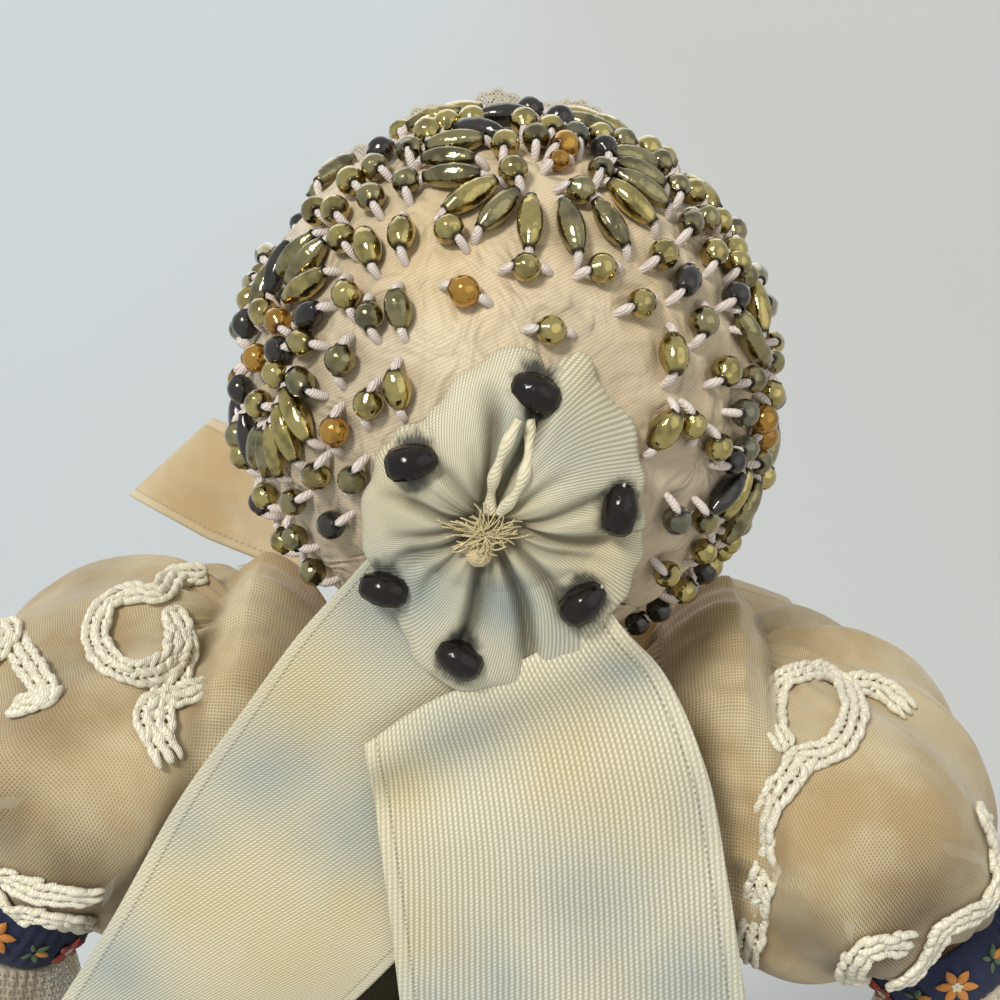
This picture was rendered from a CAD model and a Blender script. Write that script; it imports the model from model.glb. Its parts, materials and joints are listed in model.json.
"""A strung celluloid doll in folk costume, seen from behind: beaded satin bonnet, gathered ribbon
rosette with two ribbon tails, sheer balloon sleeves with chain-stitched cord, bodice, skirt and apron."""

import math

import bmesh
import bpy
import numpy as np
from mathutils import Matrix, Vector
from mathutils.bvhtree import BVHTree
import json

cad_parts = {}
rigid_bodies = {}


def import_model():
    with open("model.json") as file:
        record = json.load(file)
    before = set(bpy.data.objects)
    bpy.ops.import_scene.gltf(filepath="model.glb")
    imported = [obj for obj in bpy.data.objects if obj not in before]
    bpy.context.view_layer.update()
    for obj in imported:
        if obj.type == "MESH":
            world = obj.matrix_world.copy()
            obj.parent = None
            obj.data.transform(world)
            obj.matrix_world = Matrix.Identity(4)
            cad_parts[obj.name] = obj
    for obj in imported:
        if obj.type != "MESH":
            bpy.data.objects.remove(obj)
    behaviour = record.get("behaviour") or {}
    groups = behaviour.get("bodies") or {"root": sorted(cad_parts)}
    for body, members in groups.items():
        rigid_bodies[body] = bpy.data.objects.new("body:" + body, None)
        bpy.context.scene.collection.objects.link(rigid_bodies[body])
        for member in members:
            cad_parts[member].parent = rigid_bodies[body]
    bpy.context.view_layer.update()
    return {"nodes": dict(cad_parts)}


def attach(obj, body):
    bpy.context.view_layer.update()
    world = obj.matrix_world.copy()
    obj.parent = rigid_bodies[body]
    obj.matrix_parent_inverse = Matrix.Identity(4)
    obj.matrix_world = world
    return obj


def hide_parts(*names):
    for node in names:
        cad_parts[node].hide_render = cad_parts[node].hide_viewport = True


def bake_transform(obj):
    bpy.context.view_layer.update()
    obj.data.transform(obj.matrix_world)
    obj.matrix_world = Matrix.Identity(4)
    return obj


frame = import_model()
nodes = frame["nodes"]
scene = bpy.context.scene

MM = 0.001
TURN = 2 * math.pi
DEGREES = 57.2958
# Points nearer than this, in metres, are one point
DOUBLES = 1e-6
SIDES = ((1, "left"), (-1, "right"))


# ---------------------------------------------------------------- camera
HEAD = np.array([0.0, 0.0, 280.0])
CAMERA_DISTANCE = 170.0
CAMERA_LIFT = math.radians(16)
CAMERA_PITCH = math.radians(20.2)
CAMERA_ROLL = math.radians(3)
FOCAL_PIXELS = 1564.0
HALF_FRAME = 500.0
SENSOR_WIDTH = 36
# How much of the doll one pixel of the photograph shows
PIXEL = CAMERA_DISTANCE / FOCAL_PIXELS

eye = HEAD + CAMERA_DISTANCE * np.array([0, math.cos(CAMERA_LIFT), math.sin(CAMERA_LIFT)])
ahead = np.array([0, -math.cos(CAMERA_PITCH), -math.sin(CAMERA_PITCH)])
level_right = np.array([-1.0, 0, 0])
level_up = np.cross(level_right, ahead)
right = level_right * math.cos(CAMERA_ROLL) + level_up * math.sin(CAMERA_ROLL)
upward = level_up * math.cos(CAMERA_ROLL) - level_right * math.sin(CAMERA_ROLL)

camera_data = bpy.data.cameras.new("camera")
camera_data.sensor_width = SENSOR_WIDTH
camera_data.lens = FOCAL_PIXELS / (2 * HALF_FRAME) * SENSOR_WIDTH
camera_data.clip_start = 0.005
camera_data.clip_end = 20
camera = bpy.data.objects.new("camera", camera_data)
scene.collection.objects.link(camera)
camera.matrix_world = Matrix(
    [[right[i], upward[i], -ahead[i], eye[i] * MM] for i in range(3)] + [[0, 0, 0, 1]]
)
scene.camera = camera


def placed(name, data):
    """A new object of the scene that holds some data."""
    made = bpy.data.objects.new(name, data)
    scene.collection.objects.link(made)
    return made


def sight(px, py):
    """Unit direction from the camera through a place in the photograph."""
    way = ahead * FOCAL_PIXELS + right * (px - HALF_FRAME) + upward * (HALF_FRAME - py)
    return way / np.linalg.norm(way)


def at_depth(px, py, y):
    """Where the line of sight meets the upright plane at a distance y behind the doll's middle."""
    way = sight(px, py)
    return eye + way * ((y - eye[1]) / way[1])


def on_egg(px, py, centre, half):
    """Where the line of sight meets an ellipsoid, or its nearest silhouette place."""
    way = sight(px, py) / half
    start = (eye - centre) / half
    a, b, c = way @ way, 2 * way @ start, start @ start - 1
    inside = max(b * b - 4 * a * c, 0)
    t = (-b - math.sqrt(inside)) / (2 * a)
    place = start + way * t
    return centre + half * place / np.linalg.norm(place)


# ---------------------------------------------------------------- shader kit
def tint(code, alpha=1.0):
    """A linear colour from a plain hexadecimal one."""
    parts = [int(code[i : i + 2], 16) / 255 for i in (1, 3, 5)]
    return tuple(p / 12.92 if p <= 0.04045 else ((p + 0.055) / 1.055) ** 2.4 for p in parts) + (alpha,)


class Wire:
    """One socket of a material, with Python arithmetic."""

    def __init__(self, finish, socket):
        self.finish, self.socket = finish, socket

    def __add__(self, other):
        return self.finish.maths("ADD", self, other)

    def __sub__(self, other):
        return self.finish.maths("SUBTRACT", self, other)

    def __mul__(self, other):
        return self.finish.maths("MULTIPLY", self, other)

    def __truediv__(self, other):
        return self.finish.maths("DIVIDE", self, other)

    def __pow__(self, other):
        return self.finish.maths("POWER", self, other)

    def __rsub__(self, other):
        return self.finish.maths("SUBTRACT", other, self)

    __radd__, __rmul__ = __add__, __mul__


class Finish:
    """A material built as expressions on its sockets."""

    def __init__(self, name, **shader):
        self.material = bpy.data.materials.new(name)
        self.material.use_nodes = True
        self.nodes = self.material.node_tree.nodes
        self.links = self.material.node_tree.links
        self.nodes.clear()
        self.shader = self.nodes.new("ShaderNodeBsdfPrincipled")
        output = self.nodes.new("ShaderNodeOutputMaterial")
        self.links.new(self.shader.outputs[0], output.inputs[0])
        self.set(**shader)

    def set(self, **values):
        """Sets the shader's sockets, named with _ for a space."""
        for name, value in values.items():
            self.feed(self.shader.inputs[name.replace("_", " ")], value)
        return self

    def feed(self, socket, value):
        """Gives a socket its link, its colour from a code, or its plain value."""
        if isinstance(value, Wire):
            self.links.new(value.socket, socket)
        elif isinstance(value, str):
            socket.default_value = tint(value)
        elif value is not None:
            socket.default_value = value

    def node(self, kind, settings=(), inputs=(), output=0):
        """A node of a type, its settings first, then its sockets' values or links."""
        made = self.nodes.new(kind)
        for name, value in dict(settings).items():
            setattr(made, name, value)
        for name, value in dict(inputs).items():
            self.feed(made.inputs[name], value)
        return Wire(self, made.outputs[output])

    def maths(self, operation, *values, clamp=False):
        settings = {"operation": operation, "use_clamp": clamp}
        return self.node("ShaderNodeMath", settings, dict(enumerate(values)))

    def most(self, first, *others):
        """The greatest of some values."""
        for other in others:
            first = self.maths("MAXIMUM", first, other)
        return first

    def least(self, first, second):
        return self.maths("MINIMUM", first, second)

    def size_of(self, value):
        return self.maths("ABSOLUTE", value)

    def turn_of(self, up, over):
        return self.maths("ARCTAN2", up, over)

    def part_of(self, value):
        return self.maths("FRACT", value)

    def place(self):
        """The place in the frame, in metres."""
        return self.node("ShaderNodeTexCoord", output="Object")

    def cloth_place(self):
        """The place on the cloth laid flat, in millimetres."""
        return self.node("ShaderNodeTexCoord", output="UV")

    def split(self, vector):
        made = self.nodes.new("ShaderNodeSeparateXYZ")
        self.feed(made.inputs[0], vector)
        return [Wire(self, made.outputs[i]) for i in range(3)]

    def attribute(self, name):
        return self.node("ShaderNodeAttribute", {"attribute_name": name}, output="Fac")

    def noise(self, vector, scale, detail=2.0, rough=0.5, warp=0.0):
        inputs = {"Vector": vector, "Scale": scale, "Detail": detail, "Roughness": rough}
        return self.node("ShaderNodeTexNoise", {}, {**inputs, "Distortion": warp})

    def cells(self, vector, scale):
        return self.node("ShaderNodeTexVoronoi", {}, {"Vector": vector, "Scale": scale})

    def step(self, value, low, high):
        """Smooth rise from 0 to 1 between two values."""
        settings = {"interpolation_type": "SMOOTHSTEP"}
        names = {"Value": value, "From Min": low, "From Max": high}
        return self.node("ShaderNodeMapRange", settings, names)

    def blend(self, share, first, second, way="MIX"):
        settings = {"data_type": "RGBA", "blend_type": way}
        return self.node("ShaderNodeMix", settings, {0: share, 6: first, 7: second}, output=2)

    def wave(self, value):
        """A sine between 0 and 1, one period for each whole step of the value."""
        return self.maths("SINE", value * TURN) * 0.5 + 0.5

    def bump(self, height, depth_mm, over=None):
        inputs = {"Height": height, "Distance": depth_mm * MM, "Strength": 1.0, "Normal": over}
        return self.node("ShaderNodeBump", {}, inputs)

    def mottled(self, pale, shade, scale, low=0.35, high=0.7, rough=0.6):
        """Slow changes of tone between two colours."""
        tone = self.step(self.noise(self.place(), scale, 3, rough), low, high)
        return self.blend(tone, pale, shade)


def plain_weave(finish, u, v, pitch):
    """Height of a plain weave: each thread goes over the next and under the one after."""
    over = finish.wave(u / pitch) * finish.wave(v / pitch)
    under = finish.wave(u / pitch + 0.5) * finish.wave(v / pitch + 0.5)
    return over + under


# ---------------------------------------------------------------- mesh kit
def smooth(data):
    data.polygons.foreach_set("use_smooth", [True] * len(data.polygons))


def mesh_of(name, points, faces, uv=None):
    """A mesh from points in millimetres; uv holds one pair of millimetres for each point."""
    data = bpy.data.meshes.new(name)
    data.from_pydata((np.asarray(points) * MM).tolist(), [], [list(f) for f in faces])
    if uv is not None:
        layer = data.uv_layers.new(name="UVMap")
        corners = np.empty(len(data.loops), int)
        data.loops.foreach_get("vertex_index", corners)
        layer.data.foreach_set("uv", np.asarray(uv, np.float32)[corners].ravel())
    smooth(data)
    data.update()
    return placed(name, data)


def grid_faces(rows, columns, closed=False, wrap_rows=False):
    """The four-sided faces of a grid of points, closed across, down or both."""
    faces = []
    for r in range(rows if wrap_rows else rows - 1):
        for c in range(columns if closed else columns - 1):
            a, b = r * columns + c, r * columns + (c + 1) % columns
            below = ((r + 1) % rows) * columns
            faces.append((a, b, below + (c + 1) % columns, below + c))
    return faces


def cloth(name, at, rows, columns, closed=False, wall=0.0, uv=None):
    """A sheet from at(down, across) on arrays of shares.

    uv is its flat size across and down in millimetres, or a function of the same shares."""
    down = np.repeat(np.linspace(0, 1, rows), columns)
    shares = np.arange(columns) / columns if closed else np.linspace(0, 1, columns)
    across = np.tile(shares, rows)
    if isinstance(uv, tuple):
        flat = np.stack([across * uv[0], down * uv[1]], 1)
    else:
        flat = uv(down, across) if uv else None
    made = mesh_of(name, at(down, across), grid_faces(rows, columns, closed), flat)
    return thicken(made, wall) if wall else made


def thicken(made, wall, offset=0):
    """Gives a sheet its wall, to both sides of it or (offset -1) inwards."""
    add = made.modifiers.new("wall", "SOLIDIFY")
    add.thickness = wall * MM
    add.offset = offset
    return baked(made)


def baked(made):
    """The piece with its modifiers turned into plain mesh."""
    graph = bpy.context.evaluated_depsgraph_get()
    result = bpy.data.meshes.new_from_object(made.evaluated_get(graph), depsgraph=graph)
    made.modifiers.clear()
    made.data = result
    return made


def dress(made, material, body, *stands_for, slot=None):
    """Gives a piece its finish, its body (none where it bends between two) and the node it replaces."""
    made.data.materials.clear()
    made.data.materials.append(material)
    if body:
        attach(made, body)
    if stands_for:
        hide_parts(*stands_for)
    return made


def points_of(made):
    """A piece's points, in millimetres."""
    return np.array([v.co / MM for v in made.data.vertices])


def mark(made, key, values):
    """Holds one number for each point, under a name that the finishes read."""
    layer = made.data.attributes.new(key, "FLOAT", "POINT")
    layer.data.foreach_set("value", np.asarray(values, np.float32))


def patches(made, key, spots, depth):
    """Marks soft round patches on a piece, each at (across, down, size, strength) in the frame."""
    points = points_of(made)
    total = np.zeros(len(points))
    for px, py, radius, strength in spots:
        centre = at_depth(px, py, depth)
        away = np.hypot(points[:, 0] - centre[0], points[:, 2] - centre[2]) / (radius * PIXEL)
        total = np.maximum(total, strength * np.exp(-(away**2)))
    mark(made, key, total)


def flat_area(made):
    """The area of a piece's faces, in square metres."""
    graph = bpy.context.evaluated_depsgraph_get()
    return sum(p.area for p in made.evaluated_get(graph).data.polygons)


def declare_sheet(made, walls=2):
    """Declares a sheet from its width in millimetres and its surface; a trim under 10 mm wide isn't one."""
    area = flat_area(made) / walls


def unit(v):
    return v / np.linalg.norm(v, axis=-1, keepdims=True)


def tube_points(path, radius, sides=8, closed=False):
    """Rings of points round a path; radius is a number or one for each step."""
    path = np.asarray(path, float)
    count = len(path)
    ahead_of = np.roll(path, -1, 0) if closed else np.vstack([path[1:], path[-1:]])
    behind = np.roll(path, 1, 0) if closed else np.vstack([path[:1], path[:-1]])
    along = unit(ahead_of - behind)
    side = np.cross(along[0], [0.31, 0.17, 0.93])
    sides_of = []
    for t in along:
        side = unit(side - t * (side @ t))
        sides_of.append(side)
    sides_of = np.array(sides_of)
    third = np.cross(along, sides_of)
    angle = np.arange(sides) * TURN / sides
    radii = np.broadcast_to(np.asarray(radius, float), (count,))
    cosine, sine = np.cos(angle)[None, :, None], np.sin(angle)[None, :, None]
    rings = path[:, None] + radii[:, None, None] * (cosine * sides_of[:, None] + sine * third[:, None])
    return rings.reshape(-1, 3)


def bend_through(start, middle, end, steps):
    """Places along a bend from a start to an end, drawn towards a middle."""
    share = np.linspace(0, 1, steps)[:, None]
    return start * (1 - share) ** 2 + 2 * middle * share * (1 - share) + end * share**2


def tube(name, path, radius, sides=8, closed=False):
    """A round tube along a path, closed on itself or capped at both ends."""
    count = len(path)
    points = tube_points(path, radius, sides, closed)
    faces = grid_faces(count, sides, True, closed)
    if not closed:
        faces += [tuple(range(sides))[::-1], tuple(range((count - 1) * sides, count * sides))]
    return mesh_of(name, points, [f[::-1] for f in faces])


def reshape(made, merge=0.0, fill=False, turn=False):
    """Merges points within a reach in metres, fills the holes and turns the faces outwards, as asked."""
    form = bmesh.new()
    form.from_mesh(made.data)
    if merge:
        bmesh.ops.remove_doubles(form, verts=form.verts, dist=merge)
    if fill:
        bmesh.ops.holes_fill(form, edges=form.edges, sides=64)
    if turn:
        bmesh.ops.recalc_face_normals(form, faces=form.faces)
    form.to_mesh(made.data)
    form.free()


def turn_outwards(made):
    reshape(made, turn=True)


def joined(name, pieces):
    """One mesh from several, their materials kept."""
    form = bmesh.new()
    materials = []
    for piece in pieces:
        material = piece.data.materials[0] if piece.data.materials else None
        if material not in materials:
            materials.append(material)
        index = materials.index(material)
        start = len(form.faces)
        form.from_mesh(piece.data)
        form.faces.ensure_lookup_table()
        for face in form.faces[start:]:
            face.material_index = index
        bpy.data.objects.remove(piece)
    data = bpy.data.meshes.new(name)
    form.to_mesh(data)
    form.free()
    for material in materials:
        if material:
            data.materials.append(material)
    return placed(name, data)


def frame_turn(along, outward):
    """Euler angles that lay a template's Z along one way and its X outwards."""
    z = Vector(along).normalized()
    x = Vector(outward)
    x = (x - z * x.dot(z)).normalized()
    y = z.cross(x)
    return Matrix((x, y, z)).transposed().to_euler()


def sewn(name, template, places, turns, sizes, material):
    """Copies of a template at places, by a small tree of Geometry Nodes that ends in plain mesh."""
    carrier = bpy.data.meshes.new(name)
    carrier.from_pydata([tuple(np.asarray(p) * MM) for p in places], [], [])
    for key, rows in (("turn", turns), ("size", sizes)):
        layer = carrier.attributes.new(key, "FLOAT_VECTOR", "POINT")
        layer.data.foreach_set("vector", np.asarray([tuple(r) for r in rows], np.float32).ravel())
    made = placed(name, carrier)
    tree = bpy.data.node_groups.new(f"{name}_layout", "GeometryNodeTree")
    for key, way, kind in (("Geometry", "INPUT", "Geometry"), ("Template", "INPUT", "Object"),
                           ("Finish", "INPUT", "Material"), ("Geometry", "OUTPUT", "Geometry")):
        tree.interface.new_socket(key, in_out=way, socket_type=f"NodeSocket{kind}")
    new, link = tree.nodes.new, tree.links.new
    start, end = new("NodeGroupInput"), new("NodeGroupOutput")
    source = new("GeometryNodeObjectInfo")
    put = new("GeometryNodeInstanceOnPoints")
    real, paint = new("GeometryNodeRealizeInstances"), new("GeometryNodeSetMaterial")
    link(start.outputs["Geometry"], put.inputs["Points"])
    link(start.outputs["Template"], source.inputs["Object"])
    link(source.outputs["Geometry"], put.inputs["Instance"])
    for key, socket in (("turn", "Rotation"), ("size", "Scale")):
        read = new("GeometryNodeInputNamedAttribute")
        read.data_type = "FLOAT_VECTOR"
        read.inputs["Name"].default_value = key
        link(read.outputs["Attribute"], put.inputs[socket])
    link(put.outputs[0], real.inputs[0])
    link(real.outputs[0], paint.inputs["Geometry"])
    link(start.outputs["Finish"], paint.inputs["Material"])
    link(paint.outputs[0], end.inputs[0])
    add = made.modifiers.new("layout", "NODES")
    add.node_group = tree
    given = {"Template": template, "Finish": material}
    for item in tree.interface.items_tree:
        if item.in_out == "INPUT" and item.name in given:
            add[item.identifier] = given[item.name]
    baked(made)
    for key in ("turn", "size"):
        if made.data.attributes.get(key):
            made.data.attributes.remove(made.data.attributes[key])
    smooth(made.data)
    return made


def soft_copy(name, node, material, body, slot, voxel, rounds):
    """A smooth copy of a faceted CAD node, remeshed and relaxed in its place, which replaces it."""
    made = placed(name, nodes[node].data.copy())
    made.data.materials.clear()
    reshape(made, merge=DOUBLES)
    remesh = made.modifiers.new("remesh", "REMESH")
    remesh.mode = "VOXEL"
    remesh.voxel_size = voxel * MM
    relax = made.modifiers.new("relax", "SMOOTH")
    relax.factor = 0.6
    relax.iterations = rounds
    baked(made)
    smooth(made.data)
    return dress(made, material, body, node, slot=slot)


# ---------------------------------------------------------------- finishes
def satin(name, pale, shade, pitch, weave, rough, bloom, depth, crumple=0.0, warm="#f4dfa0"):
    """Ribbon satin: rows of short floats, slow changes of tone, and a grey or yellowed bloom."""
    finish = Finish(name, Sheen_Weight=0.2, Specular_IOR_Level=0.4)
    u, v, _ = finish.split(finish.cloth_place())
    place = finish.place()
    rows = finish.wave(v / pitch + 0.25 * finish.noise(place, 260, 1))
    floats = finish.wave((u + v * 0.45) / (pitch * 0.86))
    weave_height = rows * (floats * 0.62 + 0.38)
    colour = finish.mottled(pale, shade, 60, 0.35, 0.68)
    cloud = finish.step(finish.noise(place, 70, 2, 0.5, 0.6), 0.3, 0.75)
    colour = finish.blend(finish.attribute("bloom") * (0.55 + 0.45 * cloud), colour, bloom)
    colour = finish.blend(finish.attribute("warm") * (0.4 + 0.5 * cloud), colour, warm)
    fine = finish.noise(place, 2600, 1)
    colour = finish.blend((1 - weave_height) * depth, colour, "#a39a82", "MULTIPLY")
    colour = finish.blend(finish.attribute("fold") * 0.85, colour, "#949184", "MULTIPLY")
    streak = finish.step(finish.attribute("halo") + 0.4 * finish.noise(place, 900, 1) + 0.14 * rows, 0.7, 1.02)
    colour = finish.blend(streak * 0.92, colour, "#2c2a26")
    inside = finish.attribute("inside")
    selvedge = finish.step(inside, 3.75, 4.0)
    holes = finish.maths("SUBTRACT", 1.0, finish.size_of(inside - 3.55) * 6, clamp=True)
    pierced = holes * finish.step(finish.wave(u / 0.55), 0.35, 0.7)
    colour = finish.blend(selvedge * 0.3, colour, "#e6dec0")
    colour = finish.blend(pierced * 0.75, colour, "#8b836a")
    roughness = rough + 0.16 * (1 - weave_height) + 0.12 * (fine - 0.5)
    height = weave_height * (1 - selvedge * 0.4) + 0.35 * fine
    height = height + finish.wave(u / 0.6) * selvedge * 0.8 - pierced * 2
    wrinkles = finish.bump(finish.noise(place, 170, 2, 0.5, 1.2), crumple) if crumple else None
    return finish.set(
        Base_Color=colour, Roughness=roughness, Normal=finish.bump(height, weave, over=wrinkles)
    ).material


def bead_glass(name, metal, patina, rough, metallic=1.0, uneven=0.5, coat=0.5):
    """Metallised glass: a bright coat, worn and darker round the hole and in its hollows."""
    finish = Finish(name, Coat_Weight=coat, Coat_Roughness=0.05, Specular_IOR_Level=0.5 if metallic else 0.3)
    place = finish.place()
    wear = finish.attribute("wear")
    spots = finish.noise(place, 1500, 3, 0.6)
    worn = finish.step(wear + 0.6 * (spots - 0.5), 0.45, 0.95)
    streaks = finish.step(finish.noise(place, 420, 2, 0.6), 0.4, 0.68)
    colour = finish.blend(worn, metal, patina)
    colour = finish.blend(streaks * uneven, colour, patina)
    dents = finish.bump(finish.noise(place, 620, 2), 0.25)
    return finish.set(
        Base_Color=colour, Metallic=metallic, Roughness=rough + 0.25 * worn, Normal=dents
    ).material


def thread_finish(name, pale, shade, twist=0.35):
    """Twisted thread: fine slanting plies, pale on top, with a little fuzz."""
    finish = Finish(name, Sheen_Weight=0.3)
    place = finish.place()
    x, y, z = finish.split(place)
    ply = finish.wave((x + y * 0.7 + z) * (1000 / twist))
    colour = finish.blend(ply * 0.6, pale, shade)
    fuzz = finish.noise(place, 5000, 2)
    return finish.set(
        Base_Color=colour, Roughness=0.62 + 0.2 * fuzz, Normal=finish.bump(ply + 0.4 * fuzz, 0.06)
    ).material


blush_satin = satin("blush_satin", "#ebd9b8", "#d6c2a2", 0.4, 0.016, 0.42, "#b5a691", 0.35, 1.9, "#f2d8a4")
rosette_satin = satin("rosette_satin", "#fdf7dc", "#f4f0d8", 0.27, 0.035, 0.4, "#a9b9bd", 0.8)
tail_satin = satin("tail_satin", "#fffbe4", "#fbf5d8", 0.5, 0.036, 0.38, "#afc0c8", 0.78)
cream_satin = satin("cream_satin", "#e6d3ae", "#cfb485", 0.3, 0.014, 0.3, "#e6d9be", 0.35)
stitch_thread = thread_finish("stitch_thread", "#f0e4da", "#cdb9ad")
GLASSES = {
    "g": bead_glass("gold_glass", "#b9a768", "#3f361b", 0.12, uneven=0.62),
    "o": bead_glass("olive_glass", "#968c63", "#2f2a1b", 0.15, uneven=0.65),
    "d": bead_glass("dark_glass", "#3f3a36", "#191613", 0.15, 0.7),
    "a": bead_glass("amber_glass", "#b98a35", "#6a4413", 0.12, 0.8),
    "s": bead_glass("smoke_glass", "#77735f", "#3a352e", 0.17, 0.8),
}
jet_glass = bead_glass("jet_glass", "#1b120e", "#0a0807", 0.16, 0.0, 0.4, 0.1)


# ---------------------------------------------------------------- bonnet of blush satin
BONNET = np.array([27.85, 28.05, 28.25])
FRONT_CUT, FRONT_TILT = -9.0, math.tan(math.radians(9))
NAPE_CUT, NAPE_TILT = -20.5, math.tan(math.radians(5))


def on_bonnet(px, py, lift=0.0):
    return on_egg(px, py, HEAD, BONNET + lift)


def bonnet_reach(angle):
    """How far from the back of the head the satin goes, along each direction, as an angle."""
    reach = np.linspace(0.02, 2.4, 900)[None]
    x = BONNET[0] * np.sin(reach) * np.cos(angle)[:, None]
    y = BONNET[1] * np.cos(reach) + 0 * x
    z = BONNET[2] * np.sin(reach) * np.sin(angle)[:, None]
    outside = (y < FRONT_CUT - z * FRONT_TILT) | (z < NAPE_CUT + x * NAPE_TILT)
    return reach[0][np.argmax(outside, axis=1)]


# Each bead: place in the photograph, glass, form, and the way that its visible stitch points
ROUND_BEADS = [
    (505, 144, "g", "r", 260), (513, 170, "g", "r", 300), (581, 190, "o", "r", 165), (601, 170, "o", "h", 250),
    (565, 145, "a", "r", 200), (559, 160, "a", "s", 200), (536, 137, "o", "r", 270), (524, 121, "g", "r", 90),
    (551, 129, "g", "r", 270), (575, 136, "s", "r", 300), (559, 119, "d", "r", 90), (600, 136, "g", "r", 300),
    (604, 148, "d", "r", 300), (623, 142, "o", "r", 320), (648, 150, "g", "r", 300), (660, 163, "o", "r", 300),
    (677, 187, "o", "r", 290), (693, 192, "g", "r", 320), (691, 223, "o", "b", 250), (707, 218, "o", "r", 320),
    (719, 221, "g", "r", 320), (664, 254, "g", "r", 215), (687, 280, "d", "b", 240), (714, 253, "g", "r", 270),
    (734, 250, "g", "r", 30), (737, 264, "g", "r", 260), (410, 150, "o", "h", 270), (406, 181, "o", "c", 270),
    (401, 233, "g", "b", 270), (449, 229, "g", "r", 315), (428, 132, "g", "r", 90), (447, 124, "g", "r", 90),
    (472, 120, "g", "r", 90), (381, 150, "d", "r", 250), (375, 167, "o", "r", 340), (351, 181, "g", "r", 320),
    (371, 197, "o", "r", 290), (335, 210, "g", "r", 300), (316, 211, "g", "R", 320), (342, 238, "g", "r", 300),
    (367, 247, "g", "b", 100), (526, 267, "g", "r", 180), (602, 268, "g", "r", 190), (464, 291, "a", "r", 160),
    (346, 295, "g", "r", 100), (369, 316, "o", "r", 280), (398, 309, "o", "b", 95), (642, 303, "g", "r", 200),
    (551, 330, "g", "r", 175), (308, 315, "d", "b", 30), (301, 342, "g", "b", 350), (263, 312, "g", "r", 100),
    (278, 321, "a", "r", 300), (257, 358, "a", "h", 200), (278, 350, "d", "r", 20), (276, 374, "g", "r", 120),
    (300, 382, "o", "b", 320), (259, 404, "g", "r", 340), (340, 360, "o", "r", 80), (368, 404, "g", "r", 75),
    (397, 389, "g", "b", 95), (334, 431, "a", "r", 88), (316, 476, "g", "r", 75), (352, 480, "o", "r", 68),
    (265, 496, "g", "r", 350), (293, 502, "o", "r", 25), (240, 512, "d", "r", 340), (331, 525, "d", "r", 20),
    (295, 538, "o", "r", 350), (267, 552, "g", "r", 350), (313, 572, "o", "r", 340), (231, 459, "g", "r", 110),
    (241, 389, "d", "r", 90), (246, 324, "d", "r", 90), (237, 436, "o", "r", 90), (250, 300, "g", "r", 80),
    (704, 322, "o", "r", 260), (674, 354, "g", "b", 265), (736, 296, "d", "r", 230), (727, 371, "g", "c", 230),
    (753, 379, "o", "r", 210), (772, 362, "o", "r", 180), (665, 430, "g", "b", 65), (693, 425, "g", "r", 100),
    (719, 447, "g", "r", 105), (745, 413, "s", "r", 180), (764, 419, "a", "r", 90), (765, 436, "a", "r", 60),
    (746, 448, "s", "r", 200), (759, 461, "o", "r", 170), (764, 477, "g", "r", 120), (733, 461, "d", "r", 210),
    (677, 520, "s", "r", 95), (705, 520, "o", "r", 95), (704, 551, "g", "r", 100), (724, 551, "g", "r", 100),
    (752, 531, "g", "r", 90), (750, 556, "g", "r", 90), (720, 574, "g", "r", 190), (727, 592, "d", "r", 190),
    (667, 574, "g", "r", 140), (684, 590, "g", "r", 160), (698, 604, "d", "r", 180), (665, 619, "d", "r", 175),
    (641, 630, "d", "r", 170), (771, 395, "g", "r", 90), (745, 276, "o", "r", 60),
]
# Each long bead: place, glass, and the way its axis lies in the photograph
LONG_BEADS = [
    (452, 175, "o", 3), (449, 158, "o", 0), (455, 142, "o", 8), (470, 195, "g", 31), (498, 209, "o", 46),
    (530, 222, "g", 88), (571, 226, "o", 106), (611, 223, "o", 124), (632, 202, "g", 137), (642, 188, "o", 148),
    (640, 172, "o", 155), (634, 158, "o", 165), (434, 119, "g", 15), (480, 130, "d", 170), (505, 115, "d", 5),
    (588, 126, "o", 165), (296, 254, "o", 48), (306, 262, "o", 50), (305, 285, "g", 34), (278, 268, "d", 70),
    (264, 290, "o", 75), (296, 415, "g", 117), (286, 433, "g", 108), (275, 449, "g", 98), (266, 452, "o", 92),
    (258, 446, "o", 84), (249, 440, "d", 80), (758, 306, "g", 78), (750, 335, "o", 115), (757, 349, "o", 122),
    (736, 494, "g", 62), (746, 505, "o", 68), (739, 519, "o", 75), (727, 494, "d", 50),
]
BEAD_RADIUS = 1.42


def worn_bead(name, profile, sides, flutes=0, flute_depth=0.0):
    """A pierced bead with a worn rim; the wear is held as an attribute of the mesh."""
    profile = np.asarray(profile, float)
    angle = np.arange(sides) * TURN / sides
    rings, wear = [], []
    half = abs(profile[:, 1]).max()
    for r, h in profile:
        ripple = 1 + flute_depth * np.cos(flutes * angle) * (1 - abs(h) / half * 0.6) if flutes else 1
        rings.append(np.stack([r * ripple * np.cos(angle), r * ripple * np.sin(angle), h + 0 * angle], 1))
        wear += [max(0.0, (abs(h) / half - 0.62) / 0.38)] * sides
    faces = grid_faces(len(profile), sides, True, True)
    made = mesh_of(name, np.concatenate(rings), faces)
    mark(made, "wear", wear)
    turn_outwards(made)
    made.hide_render = made.hide_viewport = True
    return made


def bead_profile(radius, half_length, hole, end=0.36, steps=8):
    """Outline of a bead from one hole rim to the other, then back through the hole."""
    spread = np.linspace(-1, 1, steps)
    bow = np.sqrt(np.clip(1 - spread**2 * (1 - end**2), 0, 1))
    outer = [(radius * b, s * half_length * 0.93) for s, b in zip(spread, bow)]
    collar = [(hole + 0.13, half_length * 1.04), (hole, half_length * 1.02), (hole, half_length * 0.7)]
    return [(r, -h) for r, h in collar[::-1][1:]] + outer + collar


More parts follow.
